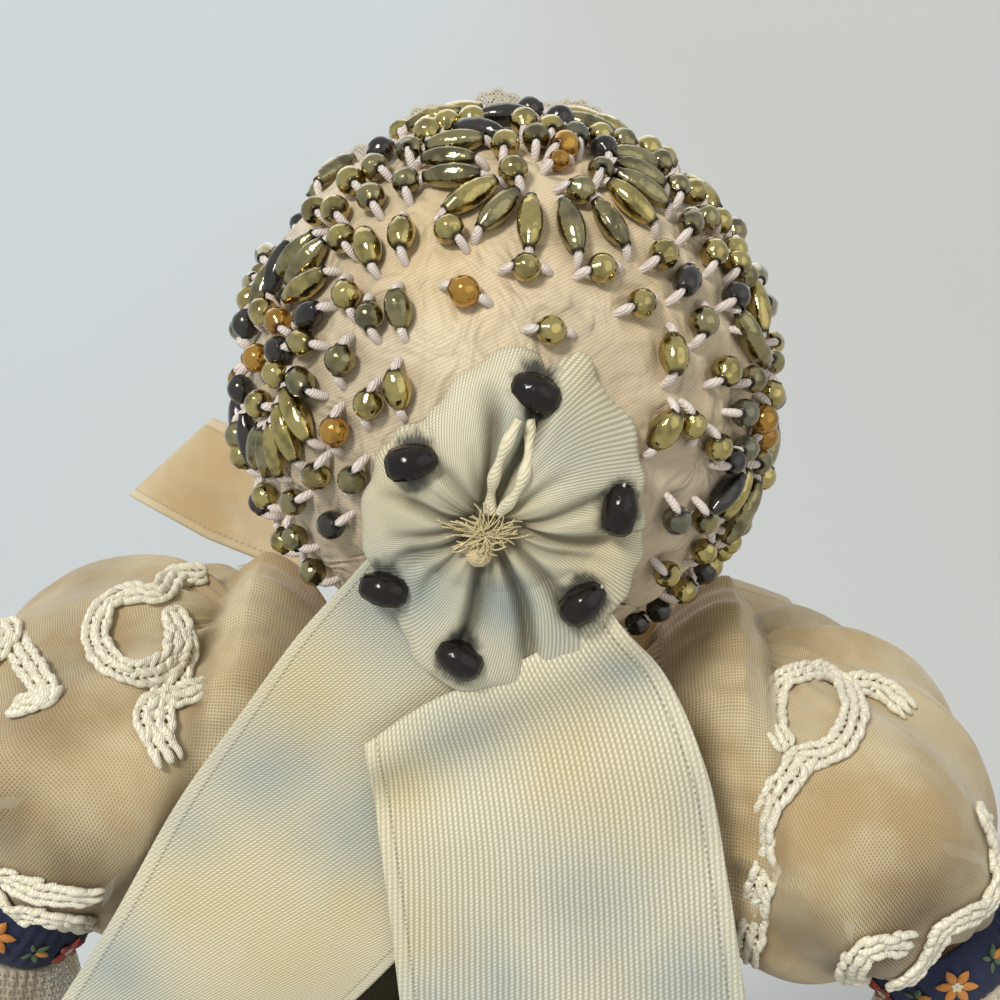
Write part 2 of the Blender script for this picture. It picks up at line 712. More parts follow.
BEAD_FORMS = {
    "r": bead_profile(1.0, 0.98, 0.24, 0.42),
    "b": bead_profile(0.98, 1.35, 0.28, 0.55),
    "c": bead_profile(1.05, 1.08, 0.24, 0.36),
    "l": bead_profile(0.86, 1.95, 0.26, 0.5, 9),
    "k": [(0.5, -1.45), (0.86, -1.1), (1.0, -0.2), (0.92, 0.45), (0.62, 1.2), (0.34, 1.42), (0.2, 1.1), (0.2, -1.1)],
}
# Letters of ROUND_BEADS: h stands on its rim, R is larger and s smaller
FORM_OF = {"r": "r", "h": "r", "R": "r", "b": "b", "c": "c", "s": "c"}
SIZE_OF = {"R": 1.12, "s": 0.72}
ROUND_SEAT, LONG_SEAT = 0.86, 0.78
GOLDEN_TURN = 2.399963
bead_moulds = {
    "r": worn_bead("mould_round", BEAD_FORMS["r"], 16),
    "b": worn_bead("mould_barrel", BEAD_FORMS["b"], 14),
    "c": worn_bead("mould_cone", BEAD_FORMS["c"], 12),
    "l": worn_bead("mould_long", BEAD_FORMS["l"], 18, 6, 0.05),
    "k": worn_bead("mould_cut", BEAD_FORMS["k"], 7),
}


def egg_normal(place, half=BONNET):
    return unit((place - HEAD) / half**2)


def picture_way(place, degrees, normal):
    """The direction on the surface that looks, from the camera, as if it pointed this way."""
    look = right * math.cos(math.radians(degrees)) + upward * math.sin(math.radians(degrees))
    sight_line = unit(place - eye)
    lean = look - sight_line * (look @ normal) / (sight_line @ normal)
    if (sight_line @ normal) > -0.3:
        lean = look - normal * (look @ normal)
    return unit(lean)


bead_moulds["k"].data.shade_flat()
chance = np.random.default_rng(7)
sewn_beads = []
for px, py, glass, form, points_to in ROUND_BEADS:
    radius = BEAD_RADIUS * SIZE_OF.get(form, 1) * chance.uniform(0.94, 1.06)
    place = on_bonnet(px, py, radius * ROUND_SEAT)
    normal = egg_normal(place)
    way = picture_way(place, points_to, normal)
    tilt = 0.85 if form == "h" else chance.uniform(0.12, 0.4)
    sewn_beads.append((place, normal, unit(way + normal * tilt), way, radius, glass, FORM_OF[form]))
for px, py, glass, lies in LONG_BEADS:
    place = on_bonnet(px, py, BEAD_RADIUS * LONG_SEAT)
    normal = egg_normal(place)
    way = picture_way(place, lies, normal)
    sewn_beads.append((place, normal, way, way, BEAD_RADIUS * chance.uniform(0.95, 1.05), glass, "l"))


def add_hidden_beads():
    """The same motifs go on over the crown and round the sides, where the photograph doesn't reach."""
    def seen(place):
        normal = egg_normal(place)
        return (unit(eye - place) @ normal) > -0.06 and place[1] > -6

    taken = [bead[0] for bead in sewn_beads]

    def free(place, gap):
        return min(np.linalg.norm(place - other) for other in taken) > gap

    def settle(direction, lift):
        place = HEAD + (BONNET + lift) * unit(direction)
        local = place - HEAD
        if local[1] < FRONT_CUT - local[2] * FRONT_TILT + 2.2 or local[2] < NAPE_CUT + 3 + local[0] * NAPE_TILT:
            return None
        return place

    motifs = [(0, -6, 26), (-24, 6, 12), (24, 6, 12), (25, 5, -10), (-25, 5, -10), (14, -8, 22), (-14, -8, 22)]
    for centre in motifs:
        axis = unit(np.array(centre, float))
        side = unit(np.cross(axis, [0.2, 0.1, 1.0]))
        other = np.cross(axis, side)
        for k in range(12):
            turn = k * TURN / 12
            spoke = side * math.cos(turn) + other * math.sin(turn)
            place = settle(axis + spoke * 0.24, BEAD_RADIUS * LONG_SEAT)
            if place is None or seen(place) or not free(place, 2.6):
                continue
            normal = egg_normal(place)
            along = unit(spoke - normal * (spoke @ normal))
            taken.append(place)
            sewn_beads.append((place, normal, along, along, BEAD_RADIUS, "ogogdo"[k % 6], "l"))
    tries = 900
    for k in range(tries):
        height = 1 - 2 * (k + 0.5) / tries
        turn, level = k * GOLDEN_TURN, math.sqrt(1 - height**2)
        direction = np.array([math.cos(turn) * level, math.sin(turn) * level, height])
        place = settle(direction, BEAD_RADIUS * ROUND_SEAT)
        if place is None or seen(place) or not free(place, 4.8):
            continue
        normal = egg_normal(place)
        any_way = chance.normal(size=3)
        way = unit(any_way - normal * (any_way @ normal))
        taken.append(place)
        sewn_beads.append(
            (place, normal, unit(way + 0.25 * normal), way, BEAD_RADIUS * chance.uniform(0.9, 1.05),
             "ggogodaogs"[k % 10], "rrrbrrcr"[k % 8])
        )


add_hidden_beads()
bead_centres = np.array([bead[0] for bead in sewn_beads])
bead_feet = HEAD + BONNET * unit((bead_centres - HEAD) / BONNET)


def bonnet_points(down, across):
    angle = across * TURN
    reach = bonnet_reach(angle) * (0.02 + 0.98 * down)
    ball = np.stack([np.sin(reach) * np.cos(angle), np.cos(reach), np.sin(reach) * np.sin(angle)], 1)
    points = HEAD + BONNET * ball
    nearest = np.full(len(points), 9.0)
    for start in range(0, len(points), 4000):
        part = points[start : start + 4000]
        gap = np.linalg.norm(part[:, None] - bead_feet[None], axis=2)
        nearest[start : start + 4000] = gap.min(1)
    x, _, z = (points - HEAD).T
    pull = -0.42 * np.exp(-((nearest / 1.5) ** 2)) + 0.16 * np.exp(-(((nearest - 3.2) / 1.2) ** 2))
    folds = 0.10 * np.sin(x * 0.9 + 2 * np.sin(z * 0.31)) * np.sin(z * 0.53 + 1.3 * np.sin(x * 0.23))
    crease = 0.07 * np.sin((x * 0.6 - z) * 1.5 + 1.7 * np.sin(x * 0.2 + z * 0.1))
    hem = 0.25 * np.exp(-(((1 - down) * 40) ** 2))
    return points + unit((points - HEAD) / BONNET**2) * (pull + folds + crease + hem)[:, None]


def bonnet_cloth(down, across):
    """The satin laid flat, with its weave a little askew."""
    angle = across * TURN
    reach = bonnet_reach(angle) * (0.02 + 0.98 * down) * BONNET[1]
    a, b = reach * np.cos(angle), reach * np.sin(angle)
    return np.stack([a, b + 0.55 * a], 1)


bonnet = cloth("bonnet_satin", bonnet_points, 124, 232, closed=True, uv=bonnet_cloth)
turn_outwards(bonnet)
thicken(bonnet, 0.8, -1)
patches(bonnet, "warm", [(440, 250, 62, 0.8), (600, 190, 80, 0.6), (520, 150, 60, 0.6), (655, 300, 50, 0.5),
                         (350, 215, 40, 0.5), (740, 400, 50, 0.4)], 20)
patches(bonnet, "bloom", [(325, 420, 90, 0.9), (300, 540, 60, 0.8), (690, 480, 60, 0.6), (590, 320, 40, 0.3)], 20)
dress(bonnet, blush_satin, "head", "bonnet", slot="blush_satin")


def sew_beads():
    """The beads of each glass and form go on as one piece."""
    groups = {}
    for place, normal, axis, _, radius, glass, form in sewn_beads:
        groups.setdefault((glass, form), []).append((place, frame_turn(axis, normal), (radius,) * 3))
    for (glass, form), rows in groups.items():
        places, turns, sizes = zip(*rows)
        beads = sewn(f"beads_{glass}_{form}", bead_moulds[form], places, turns, sizes, GLASSES[glass])
        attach(beads, "head")


STITCH_RADII = [0.3, 0.42, 0.46, 0.45, 0.4, 0.3]


def sew_stitches():
    """Two plump ends of thread come out of each bead and go down into the satin."""
    paths = []
    for place, normal, axis, way, radius, _, form in sewn_beads:
        half = radius * (1.85 if form == "l" else 1.25 if form == "b" else 0.9)
        for side in (1, -1):
            leave = place + axis * side * half * 0.8
            bend = place + way * side * (half + 0.75) + normal * radius * 0.1
            foot = place + way * side * (half + 1.15) - normal * (radius * 0.86 + 0.5)
            paths.append(bend_through(leave, bend, foot, len(STITCH_RADII)))
    rings, sides = len(STITCH_RADII), 6
    points, faces = [], []
    for path in paths:
        start = len(points) * rings * sides
        points.append(tube_points(path, STITCH_RADII, sides))
        faces += [tuple(start + i for i in f[::-1]) for f in grid_faces(rings, sides, True)]
        faces.append(tuple(start + i for i in range(sides)))
        faces.append(tuple(start + i for i in range(rings * sides - 1, (rings - 1) * sides - 1, -1)))
    made = mesh_of("bead_stitches", np.concatenate(points), faces)
    dress(made, stitch_thread, "head", slot="thread")


sew_beads()
sew_stitches()


# ---------------------------------------------------------------- casting the line of sight on pieces
def hide_of(made):
    """A searchable skin of a finished piece, in millimetres."""
    return BVHTree.FromPolygons(points_of(made).tolist(), [tuple(p.vertices) for p in made.data.polygons])


def seen_on(skin, px, py, spare_y=27.0):
    """Place and outward direction where the line of sight through a pixel meets a skin."""
    way = sight(px, py)
    hit, normal, _, _ = skin.ray_cast(Vector(eye), Vector(way))
    if hit is None:
        near = Vector(at_depth(px, py, spare_y))
        hit, normal, _, _ = skin.find_nearest(near)
    normal = np.array(normal)
    return np.array(hit), normal if normal @ way < 0 else -normal


# ---------------------------------------------------------------- gathered rosette
ROSETTE_PIXEL = (487, 528)
ROSETTE_EDGE = [
    (644, 512), (646, 550), (636, 590), (620, 618), (602, 645), (588, 666), (560, 680), (520, 692), (475, 697),
    (440, 690), (412, 664), (398, 630), (382, 598), (364, 570), (357, 540), (358, 515), (366, 490), (378, 458),
    (398, 434), (424, 422), (437, 405), (452, 386), (474, 369), (497, 357), (522, 353), (540, 357), (547, 374),
    (558, 366), (582, 359), (592, 368), (598, 386), (612, 400), (628, 420), (640, 446), (645, 480),
]
CREASES = [
    (14, 0.75, 0.8), (74, 1.3, 0.95), (93, 1.0, 0.8), (126, 0.65, 0.75), (168, 0.9, 0.8), (190, 0.7, 0.7),
    (212, 0.9, 0.8), (232, 0.6, 0.7), (260, 1.2, 0.85), (292, 1.25, 0.95), (318, 0.9, 1.0), (340, 0.6, 0.7),
    (357, 1.0, 0.85), (42, 0.45, 0.5), (106, 0.5, 0.5), (150, 0.4, 0.5), (275, 0.5, 0.6),
]
ROSETTE_Y = 29.0


def bonnet_back(x, z):
    inside = 1 - (x / BONNET[0]) ** 2 - ((z - HEAD[2]) / BONNET[2]) ** 2
    return BONNET[1] * np.sqrt(np.clip(inside, 0, 1))


rosette_middle = at_depth(*ROSETTE_PIXEL, ROSETTE_Y)
edge_places = np.array([at_depth(px, py, ROSETTE_Y) - rosette_middle for px, py in ROSETTE_EDGE])
edge_angle = np.unwrap(np.arctan2(edge_places[:, 2], -edge_places[:, 0]))
edge_radius = np.hypot(edge_places[:, 0], edge_places[:, 2])


def rosette_outline(angle):
    """How far the rosette's edge is from its middle, along each direction."""
    start = edge_angle.min()
    order = np.argsort(edge_angle)
    wrapped = (angle - start) % TURN + start
    around = np.concatenate([edge_angle[order], [edge_angle[order][0] + TURN]])
    reach = np.concatenate([edge_radius[order], [edge_radius[order][0]]])
    return np.interp(wrapped, around, reach)


def rosette_base(x, z):
    """What the rosette lies on: the satin dome above, the ribbon tails below."""
    return np.maximum(bonnet_back(x, z) + 0.25, 25.6 + 1.2 * np.clip((268 - z) / 12, 0, 1))


def rosette_creases(share, angle, radius):
    """How deep the creases that run out from the middle are."""
    depth = np.zeros_like(share)
    for at, deep, fade in CREASES:
        away = (angle - math.radians(at) + math.pi) % TURN - math.pi
        # the crease wanders a little as it leaves the middle
        away = away + 0.07 * np.sin(share * 5 + at)
        wide = 0.35 + 0.75 * share
        cut = np.exp(-((away * radius / wide) ** 2))
        depth += 1.35 * deep * cut * np.clip((fade + 0.12 - share) / 0.3, 0, 1) * np.clip(share / 0.1, 0, 1)
    return depth


def rosette_height(share, angle, radius):
    """How far the top of the rosette stands above what it lies on."""
    puff = 2.5 * (1 - np.exp(-((share / 0.24) ** 2))) * np.sqrt(np.clip(1 - share**7, 0, 1)) + 0.35
    depth = rosette_creases(share, angle, radius)
    gathers = 0.16 * np.sin(angle * 34 + 3 * np.sin(angle * 5))
    gathers = gathers * np.exp(-((share / 0.42) ** 2)) * np.clip(share * 8, 0, 1)
    lobes = 0.28 * np.sin(angle * 3 + 1.1) * share + 0.2 * np.sin(angle * 7 + 0.4) * share**2
    return np.maximum(puff - depth * 1.15 + gathers + lobes, 0.2)


# The share of its rows that lie on the rosette's top, before they turn under
ROSETTE_TOP = 0.72
ROSETTE_ROWS, ROSETTE_COLUMNS = 110, 420


def rosette_points(down, across):
    angle = across * TURN
    on_top = down <= ROSETTE_TOP
    share = np.where(on_top, down / ROSETTE_TOP, 1 - (down - ROSETTE_TOP) / (1 - ROSETTE_TOP))
    share = np.clip(share, 0.015, 1)
    reach = rosette_outline(angle)
    frill = 1 + 0.015 * np.sin(angle * 19 + 2 * np.sin(angle * 3))
    radius = reach * share * np.where(share > 0.9, 1 + (frill - 1) * (share - 0.9) * 10, 1)
    x = rosette_middle[0] - radius * np.cos(angle)
    z = rosette_middle[2] + radius * np.sin(angle)
    height = np.where(on_top, rosette_height(share, angle, radius), 0.12)
    return np.stack([x, rosette_base(x, z) + height, z], 1)


def rosette_cloth(down, across):
    share = np.clip(down / ROSETTE_TOP, 0.015, 1)
    angle = across * TURN
    radial = rosette_outline(angle) * share
    return np.stack([radial, angle * 10.5 + 1.2 * share * np.sin(angle * 4) + 0.3 * radial], 1)


rosette = cloth("rosette_ribbon", rosette_points, ROSETTE_ROWS, ROSETTE_COLUMNS, closed=True, uv=rosette_cloth)
turn_outwards(rosette)

DARK_BEADS = [(535, 391, 152), (412, 461, 12), (620, 508, 80), (583, 601, 38), (459, 656, 150), (384, 587, 170)]
rosette_skin = hide_of(rosette)
dark_places = []
for px, py, lies in DARK_BEADS:
    spot, _ = seen_on(rosette_skin, px, py, 31)
    dark_places.append((spot, lies))


def stain(made, spread=3.1):
    """Marks how near each point is to a dark bead that has rubbed off on the ribbon."""
    points = points_of(made)
    halo = np.zeros(len(points))
    for spot, _ in dark_places:
        off = points - spot
        gap = np.sqrt(off[:, 0] ** 2 + (off[:, 2] * 0.8) ** 2 + off[:, 1] ** 2)
        halo = np.maximum(halo, np.exp(-((gap / spread) ** 2)))
    mark(made, "halo", halo)


def mark_creases():
    """Marks how deep in a crease, or how near the gathered middle, each point of the rosette is."""
    down = np.repeat(np.linspace(0, 1, ROSETTE_ROWS), ROSETTE_COLUMNS)
    share = np.clip(down / ROSETTE_TOP, 0.015, 1)
    angle = np.tile(np.arange(ROSETTE_COLUMNS) / ROSETTE_COLUMNS, ROSETTE_ROWS) * TURN
    creased = rosette_creases(share, angle, rosette_outline(angle) * share)
    mark(rosette, "fold", np.clip(creased * 0.75 + 0.5 * np.exp(-((share / 0.2) ** 2)), 0, 1))


mark_creases()
stain(rosette)
patches(rosette, "bloom", [(415, 592, 40, 0.9), (500, 612, 36, 1), (522, 432, 26, 0.8), (575, 430, 42, 0.6),
                           (452, 520, 34, 0.5), (560, 640, 30, 0.5)], 30)
patches(rosette, "warm", [(484, 530, 38, 1), (596, 395, 42, 0.5), (606, 560, 40, 0.5), (395, 500, 34, 0.5)], 30)
dress(rosette, rosette_satin, "head", "rosette", slot="rosette_satin")


def sew_dark_beads():
    """Six cut beads round the rosette, each with the ends of its thread."""
    places, turns = [], []
    normal = unit(np.array([0.0, 1.0, 0.12]))
    paths = []
    for spot, lies in dark_places:
        place = spot + normal * 0.75
        way = picture_way(place, lies, normal)
        places.append(place)
        turns.append(frame_turn(way, normal))
        for side in (1, -1):
            foot = place + way * side * 2.4 - normal * 1.1
            bend = place + way * side * 2.1 + normal * 0.1
            paths.append(bend_through(place + way * side * 1.5, bend, foot, 6))
    beads = sewn("rosette_beads", bead_moulds["k"], places, turns, [(1.95, 1.8, 1.62)] * 6, jet_glass)
    dress(beads, jet_glass, "head", *[f"rosette_bead_{i}" for i in range(1, 7)], slot="dark_bead")
    ends = joined("rosette_bead_thread", [tube("end", path, 0.16, 6) for path in paths])
    dress(ends, stitch_thread, "head", slot="thread")


old_thread = thread_finish("old_thread", "#ecdcab", "#c8ad66", 0.25)
sew_dark_beads()


def knot_and_threads():
    """Frayed gathering threads in the middle, round a small hard knot."""
    heart, _ = seen_on(rosette_skin, 484, 530, 30)
    heart = heart + np.array([0, 1.2, 0])
    loops = []
    for _ in range(110):
        turn = chance.uniform(0, TURN)
        reach = chance.uniform(0.9, 3.9) * (1.25 if abs(math.sin(turn)) < 0.4 else 0.85)
        rise = chance.uniform(0.2, 1.0)
        tip = np.array([-math.cos(turn) * reach, rise * 0.4, math.sin(turn) * reach])
        aside = np.array([math.sin(turn), 0, math.cos(turn)]) * chance.uniform(-1.1, 1.1)
        start = heart + chance.normal(size=3) * 0.35
        path = bend_through(start, heart + tip * 0.6 + aside + [0, rise, 0], heart + tip, 9)
        loops.append(tube("strand", path, chance.uniform(0.045, 0.085), 5))
    strands = joined("rosette_threads", loops)
    dress(strands, old_thread, "head", slot="thread")
    spot, _ = seen_on(rosette_skin, 479, 549, 30)
    share = np.linspace(0, 1, 90)
    wound, level = 9 * TURN * share, math.pi * (share - 0.5)
    ball = np.stack([np.sin(wound) * np.cos(level), np.sin(level), np.cos(wound) * np.cos(level)], 1)
    coil = tube("rosette_thread_knot", spot + np.array([0, 0.9, 0]) + 1.1 * ball, 0.3, 7)
    dress(coil, thread_finish("knot_thread", "#ead9b0", "#c9a55c", 0.3), "head", "rosette_knot", slot="thread")


knot_and_threads()


def raw_strip():
    """The slit where the ribbon's two ends meet, from the middle up to the first bead."""
    edges = []
    for foot, top, bend in (((490, 512), (519, 418), 0.7), ((499, 512), (530, 418), -0.9)):
        low, _ = seen_on(rosette_skin, *foot, 30)
        high, _ = seen_on(rosette_skin, *top, 31)
        share = np.linspace(0, 1, 40)
        line = low + (high - low) * share[:, None]
        line[:, 0] += bend * np.sin(share * math.pi)
        spots = [rosette_skin.ray_cast(Vector(place + [0, 20, 0]), Vector((0, -1, 0)))[0] for place in line]
        line[:, 1] = [spot[1] if spot else y for spot, y in zip(spots, line[:, 1])]
        line[:, 1] = np.convolve(np.pad(line[:, 1], 4, "edge"), np.ones(9) / 9, "valid") + 0.35
        edges.append(tube("edge", line, 0.5 + 0.12 * np.sin(share * 17 + bend), 9))
    ends = joined("rosette_raw_edge", edges)
    dress(ends, thread_finish("raw_silk", "#efe6c6", "#d8cba2", 0.5), "head", slot="thread")


raw_strip()


# ---------------------------------------------------------------- ribbon tails
TAIL_WIDTH = 30
# The satin's selvedge and pin holes lie within this many millimetres of a ribbon's edge
EDGE_MARK = 5


def spline(rows, shares):
    """Smooth interpolation through rows of points, by their running length."""
    rows = np.asarray(rows, float)
    gaps = np.linalg.norm(np.diff(rows, axis=0), axis=1)
    run = np.concatenate([[0], np.cumsum(gaps)]) / gaps.sum()
    slope = np.gradient(rows, run, axis=0)
    where = np.clip(np.searchsorted(run, shares, side="right") - 1, 0, len(run) - 2)
    span = run[where + 1] - run[where]
    t = ((shares - run[where]) / span)[:, None]
    a, b = rows[where], rows[where + 1]
    ma, mb = slope[where] * span[:, None], slope[where + 1] * span[:, None]
    return (
        a * (2 * t**3 - 3 * t**2 + 1) + b * (3 * t**2 - 2 * t**3) + ma * (t**3 - 2 * t**2 + t) + mb * (t**3 - t**2)
    )


def seen_edge(pixels, depth, lies_at, extra):
    """A selvedge from its places in the photograph, longer by what goes on below the frame."""
    edge = np.array([at_depth(px, py, depth) for px, py in pixels])
    edge[:, 1] = lies_at
    return np.vstack([edge, edge[-1] + unit(edge[-1] - edge[-2]) * extra]) if extra else edge


def mark_edges(made, rows, columns, wide):
    """Marks the millimetres to a ribbon's nearest selvedge, counted down from the selvedge itself."""
    across = np.linspace(0, 1, columns)
    from_edge = np.minimum(across, 1 - across) * wide
    mark(made, "inside", np.tile(EDGE_MARK - np.minimum(from_edge, EDGE_MARK), rows))


def tail(name, node, left_pixels, right_pixels, depth, lies_at, shape, lean, blue, warm, extra=(0, 0)):
    """A ribbon between two selvedges that are seen in the photograph, going on below the frame."""
    rows, columns = 110, 90
    left = seen_edge(left_pixels, depth, lies_at, extra[0])
    right_edge = seen_edge(right_pixels, depth, lies_at, extra[1])

    def at(down, across):
        a, b = spline(left, down), spline(right_edge, down)
        line = a + (b - a) * across[:, None]
        line[:, 1] += shape(down, across)
        # the fold at the top is rounded
        line[:, 2] += 1.0 * np.exp(-(((across - 0.25) / 0.2) ** 2) - (down / 0.05) ** 2)
        return line

    def flat(down, across):
        run = down * np.linalg.norm(left[-1] - left[0])
        return np.stack([run, across * TAIL_WIDTH + lean * run], 1)

    made = cloth(name, at, rows, columns, uv=flat)
    stain(made, 2.7)
    mark_edges(made, rows, columns, TAIL_WIDTH)
    patches(made, "bloom", blue, 26)
    patches(made, "warm", warm, 26)
    thicken(made, 0.35)
    dress(made, tail_satin, None, node, slot="tail_satin")
    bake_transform(made)
    declare_sheet(made)


def left_shape(down, across):
    return (
        1.0 * np.sin(across * 2.6 + 0.4 + down * 1.1) * down
        + 0.75 * np.sin(down * 9.0 + across * 1.9) * np.minimum(down * 3, 1)
        + 0.12 * np.sin(down * 31 + 4 * across) * np.exp(-down * 4)
    )


def right_shape(down, across):
    roll = 1.6 * np.exp(-(((down - 0.03) / 0.05) ** 2)) - 0.8 * np.exp(-(((down - 0.14) / 0.06) ** 2))
    return (
        roll
        + 1.2 * np.sin(across * 3.0 + 0.2) * (0.25 + 0.5 * down)
        + 0.45 * np.sin(down * 5 - across * 2.0)
        + 0.3 * np.exp(-(((across - 0.75 + down * 0.5) / 0.1) ** 2)) * np.exp(-down * 3)
    )


tail(
    "left_tail", "tail_left",
    [(368, 562), (300, 634), (235, 722), (180, 800), (110, 922), (60, 1000), (10, 1072)],
    [(520, 640), (505, 740), (480, 840), (440, 918), (395, 963), (360, 1000), (296, 1066)],
    26, 25.3, left_shape, 0.52,
    [(400, 612, 62, 0.9), (270, 770, 60, 0.7), (365, 840, 66, 0.9), (105, 965, 62, 0.9), (190, 830, 40, 0.4)],
    [(305, 690, 60, 0.8), (270, 930, 90, 0.9), (350, 910, 45, 0.9), (470, 700, 40, 0.5), (190, 905, 50, 0.6)],
)
tail(
    "right_tail", "tail_right",
    [(366, 742), (373, 800), (385, 880), (400, 1002)],
    [(610, 610), (665, 680), (706, 770), (728, 880), (746, 1002)],
    27, 26.5, right_shape, 0.1,
    [(470, 722, 45, 0.6), (590, 905, 90, 0.5), (690, 985, 80, 0.7), (470, 985, 90, 0.6), (700, 800, 45, 0.5),
     (625, 665, 30, 0.6)],
    [(570, 760, 60, 0.8), (400, 790, 40, 0.8), (650, 790, 60, 0.5), (420, 930, 40, 0.7), (640, 620, 30, 0.6)],
    extra=(26, 32),
)


# ---------------------------------------------------------------- neck bow
def bow_loop(name, start, top, bottom, node, material, pinch=6.0, half_depth=3.0):
    """One loop of a ribbon bow: out from its knot, round a fold between two corners and back behind."""
    start, top, bottom = (np.array(place, float) for place in (start, top, bottom))
    end = (top + bottom) / 2
    width = np.linalg.norm(top - bottom)
    along = end - start
    length = np.linalg.norm(along)
    along = along / length
    wide_start = unit(np.array([0, 0, 1.0]) - along * along[2])
    wide_end = (top - bottom) / width

    def at(down, across):
        angle = down * TURN
        reach = length / 2 * (1 - np.cos(angle))
        out = reach / length
        wide = unit(wide_start * (1 - out)[:, None] + wide_end * out[:, None])
        deep = unit(np.cross(along, wide))
        band = pinch + (width - pinch) * np.minimum(1, out * 1.4) ** 0.8
        creases = np.sin(across * math.pi * 5 + 1) * np.exp(-out * 3.2) * 0.8
        ripple = 0.35 * np.sin(across * 4 + out * 5)
        bulge = (half_depth * (1 - 0.25 * (2 * across - 1) ** 2) + creases + ripple) * np.sin(angle)
        lift = (across - 0.5) * band
        points = start + along * reach[:, None] + deep * bulge[:, None] + wide * lift[:, None]
        points[:, 2] += 0.5 * np.sin(out * 5) * (across - 0.5)
        return points

    rows, columns = 120, 34
    made = cloth(name, at, rows, columns, uv=lambda d, a: np.stack([d * 2 * length, a * width], 1))
    mark_edges(made, rows, columns, width)
    thicken(made, 0.3)
    dress(made, material, "torso", node, slot="cream_satin")
    declare_sheet(made)


LOOP_Y = -34.5
BOW_KNOT = np.array([0, -14.6, 250.1])
left_top, left_bottom = at_depth(213, 417, LOOP_Y), at_depth(130, 497, LOOP_Y)
right_top = at_depth(788, 598, LOOP_Y)
right_bottom = right_top + unit(at_depth(830, 662, LOOP_Y) - right_top) * 15
for side, name, top, bottom in ((4.5, "left", left_top, left_bottom), (-4.5, "right", right_top, right_bottom)):
    bow_loop(
        f"bow_loop_{name}", BOW_KNOT + [side, 0, 0], top, bottom, f"neck_loop_{name}", cream_satin
    )


# ---------------------------------------------------------------- balloon sleeves
SLEEVE_MIDDLE = np.array([40.0, 0.0, 235.0])
SLEEVE_HALF = np.array([27.0, 25.0, 22.0])
CUFF_WAY = np.array([0.6, 0.0, -0.8])
CUFF_ACROSS = np.array([0.8, 0.0, 0.6])
ARMHOLE_X = 26.3
CUFF_SPREAD = math.asin(10.1 / 25)


def sleeve_direction(spread, angle):
    return (
        CUFF_WAY * np.cos(spread)[:, None]
        + CUFF_ACROSS * (np.sin(spread) * np.cos(angle))[:, None]
        + np.array([0, 1.0, 0]) * (np.sin(spread) * np.sin(angle))[:, None]
    )


def sleeve_reach(angle):
    """How far round from the cuff the puff goes before it meets the armhole seam."""
    steps = np.linspace(CUFF_SPREAD, math.pi, 500)
    reach = np.empty_like(angle)
    for i, turn in enumerate(angle):
        facing = sleeve_direction(steps, np.full_like(steps, turn))
        x = SLEEVE_MIDDLE[0] + facing[:, 0] / np.linalg.norm(facing / SLEEVE_HALF, axis=1)
        inside = np.argmax(x < ARMHOLE_X)
        reach[i] = steps[inside] if (x < ARMHOLE_X).any() else math.pi
    return reach


def crumple(seed, points, size, count=9):
    """Soft irregular folds: a few ridges of random direction over one another."""
    draw = np.random.default_rng(seed)
    total = np.zeros(len(points))
    for _ in range(count):
        way = draw.normal(size=3)
        way /= np.linalg.norm(way)
        beat = draw.uniform(0.6, 1.7) / size
        turn = draw.uniform(0, TURN)
        swirl = 1.4 * np.sin(points @ draw.normal(size=3) / size * 0.35 + turn)
        total += np.sin(points @ way * beat + turn + swirl)
    return total / math.sqrt(count)


SINK_TURNS = [-70, -40, -15, 0, 30, 60, 94, 108, 123, 150]
SINKS = {
    "right": [-1.5, -1.2, 4, 8, 10, 10, 7.5, 5, 4, 3],
    "left": [-1.5, -1.2, 0.5, 1.2, 2.2, 2.2, 1.4, 2.0, 3.0, 3.0],
}
# Where the photograph looks through the muslin into the dark, low in each sleeve
LOW_PATCHES = {
    "right": [(915, 890, 70, 1), (860, 930, 60, 1), (752, 720, 34, 0.8), (800, 900, 50, 0.7), (990, 960, 60, 0.8)],
    "left": [(85, 830, 66, 1), (20, 800, 60, 0.8), (40, 700, 50, 0.5), (200, 650, 40, 0.4), (30, 900, 50, 0.9)],
}


def sink_table(name):
    """How far the muslin has sunk in towards its middle, by the direction it faces."""
    grid = np.linspace(-90, 170, 131)
    window = np.hanning(19)
    sinks = np.pad(np.interp(grid, SINK_TURNS, SINKS[name]), 9, "edge")
    return grid, np.convolve(sinks, window / window.sum(), "valid")


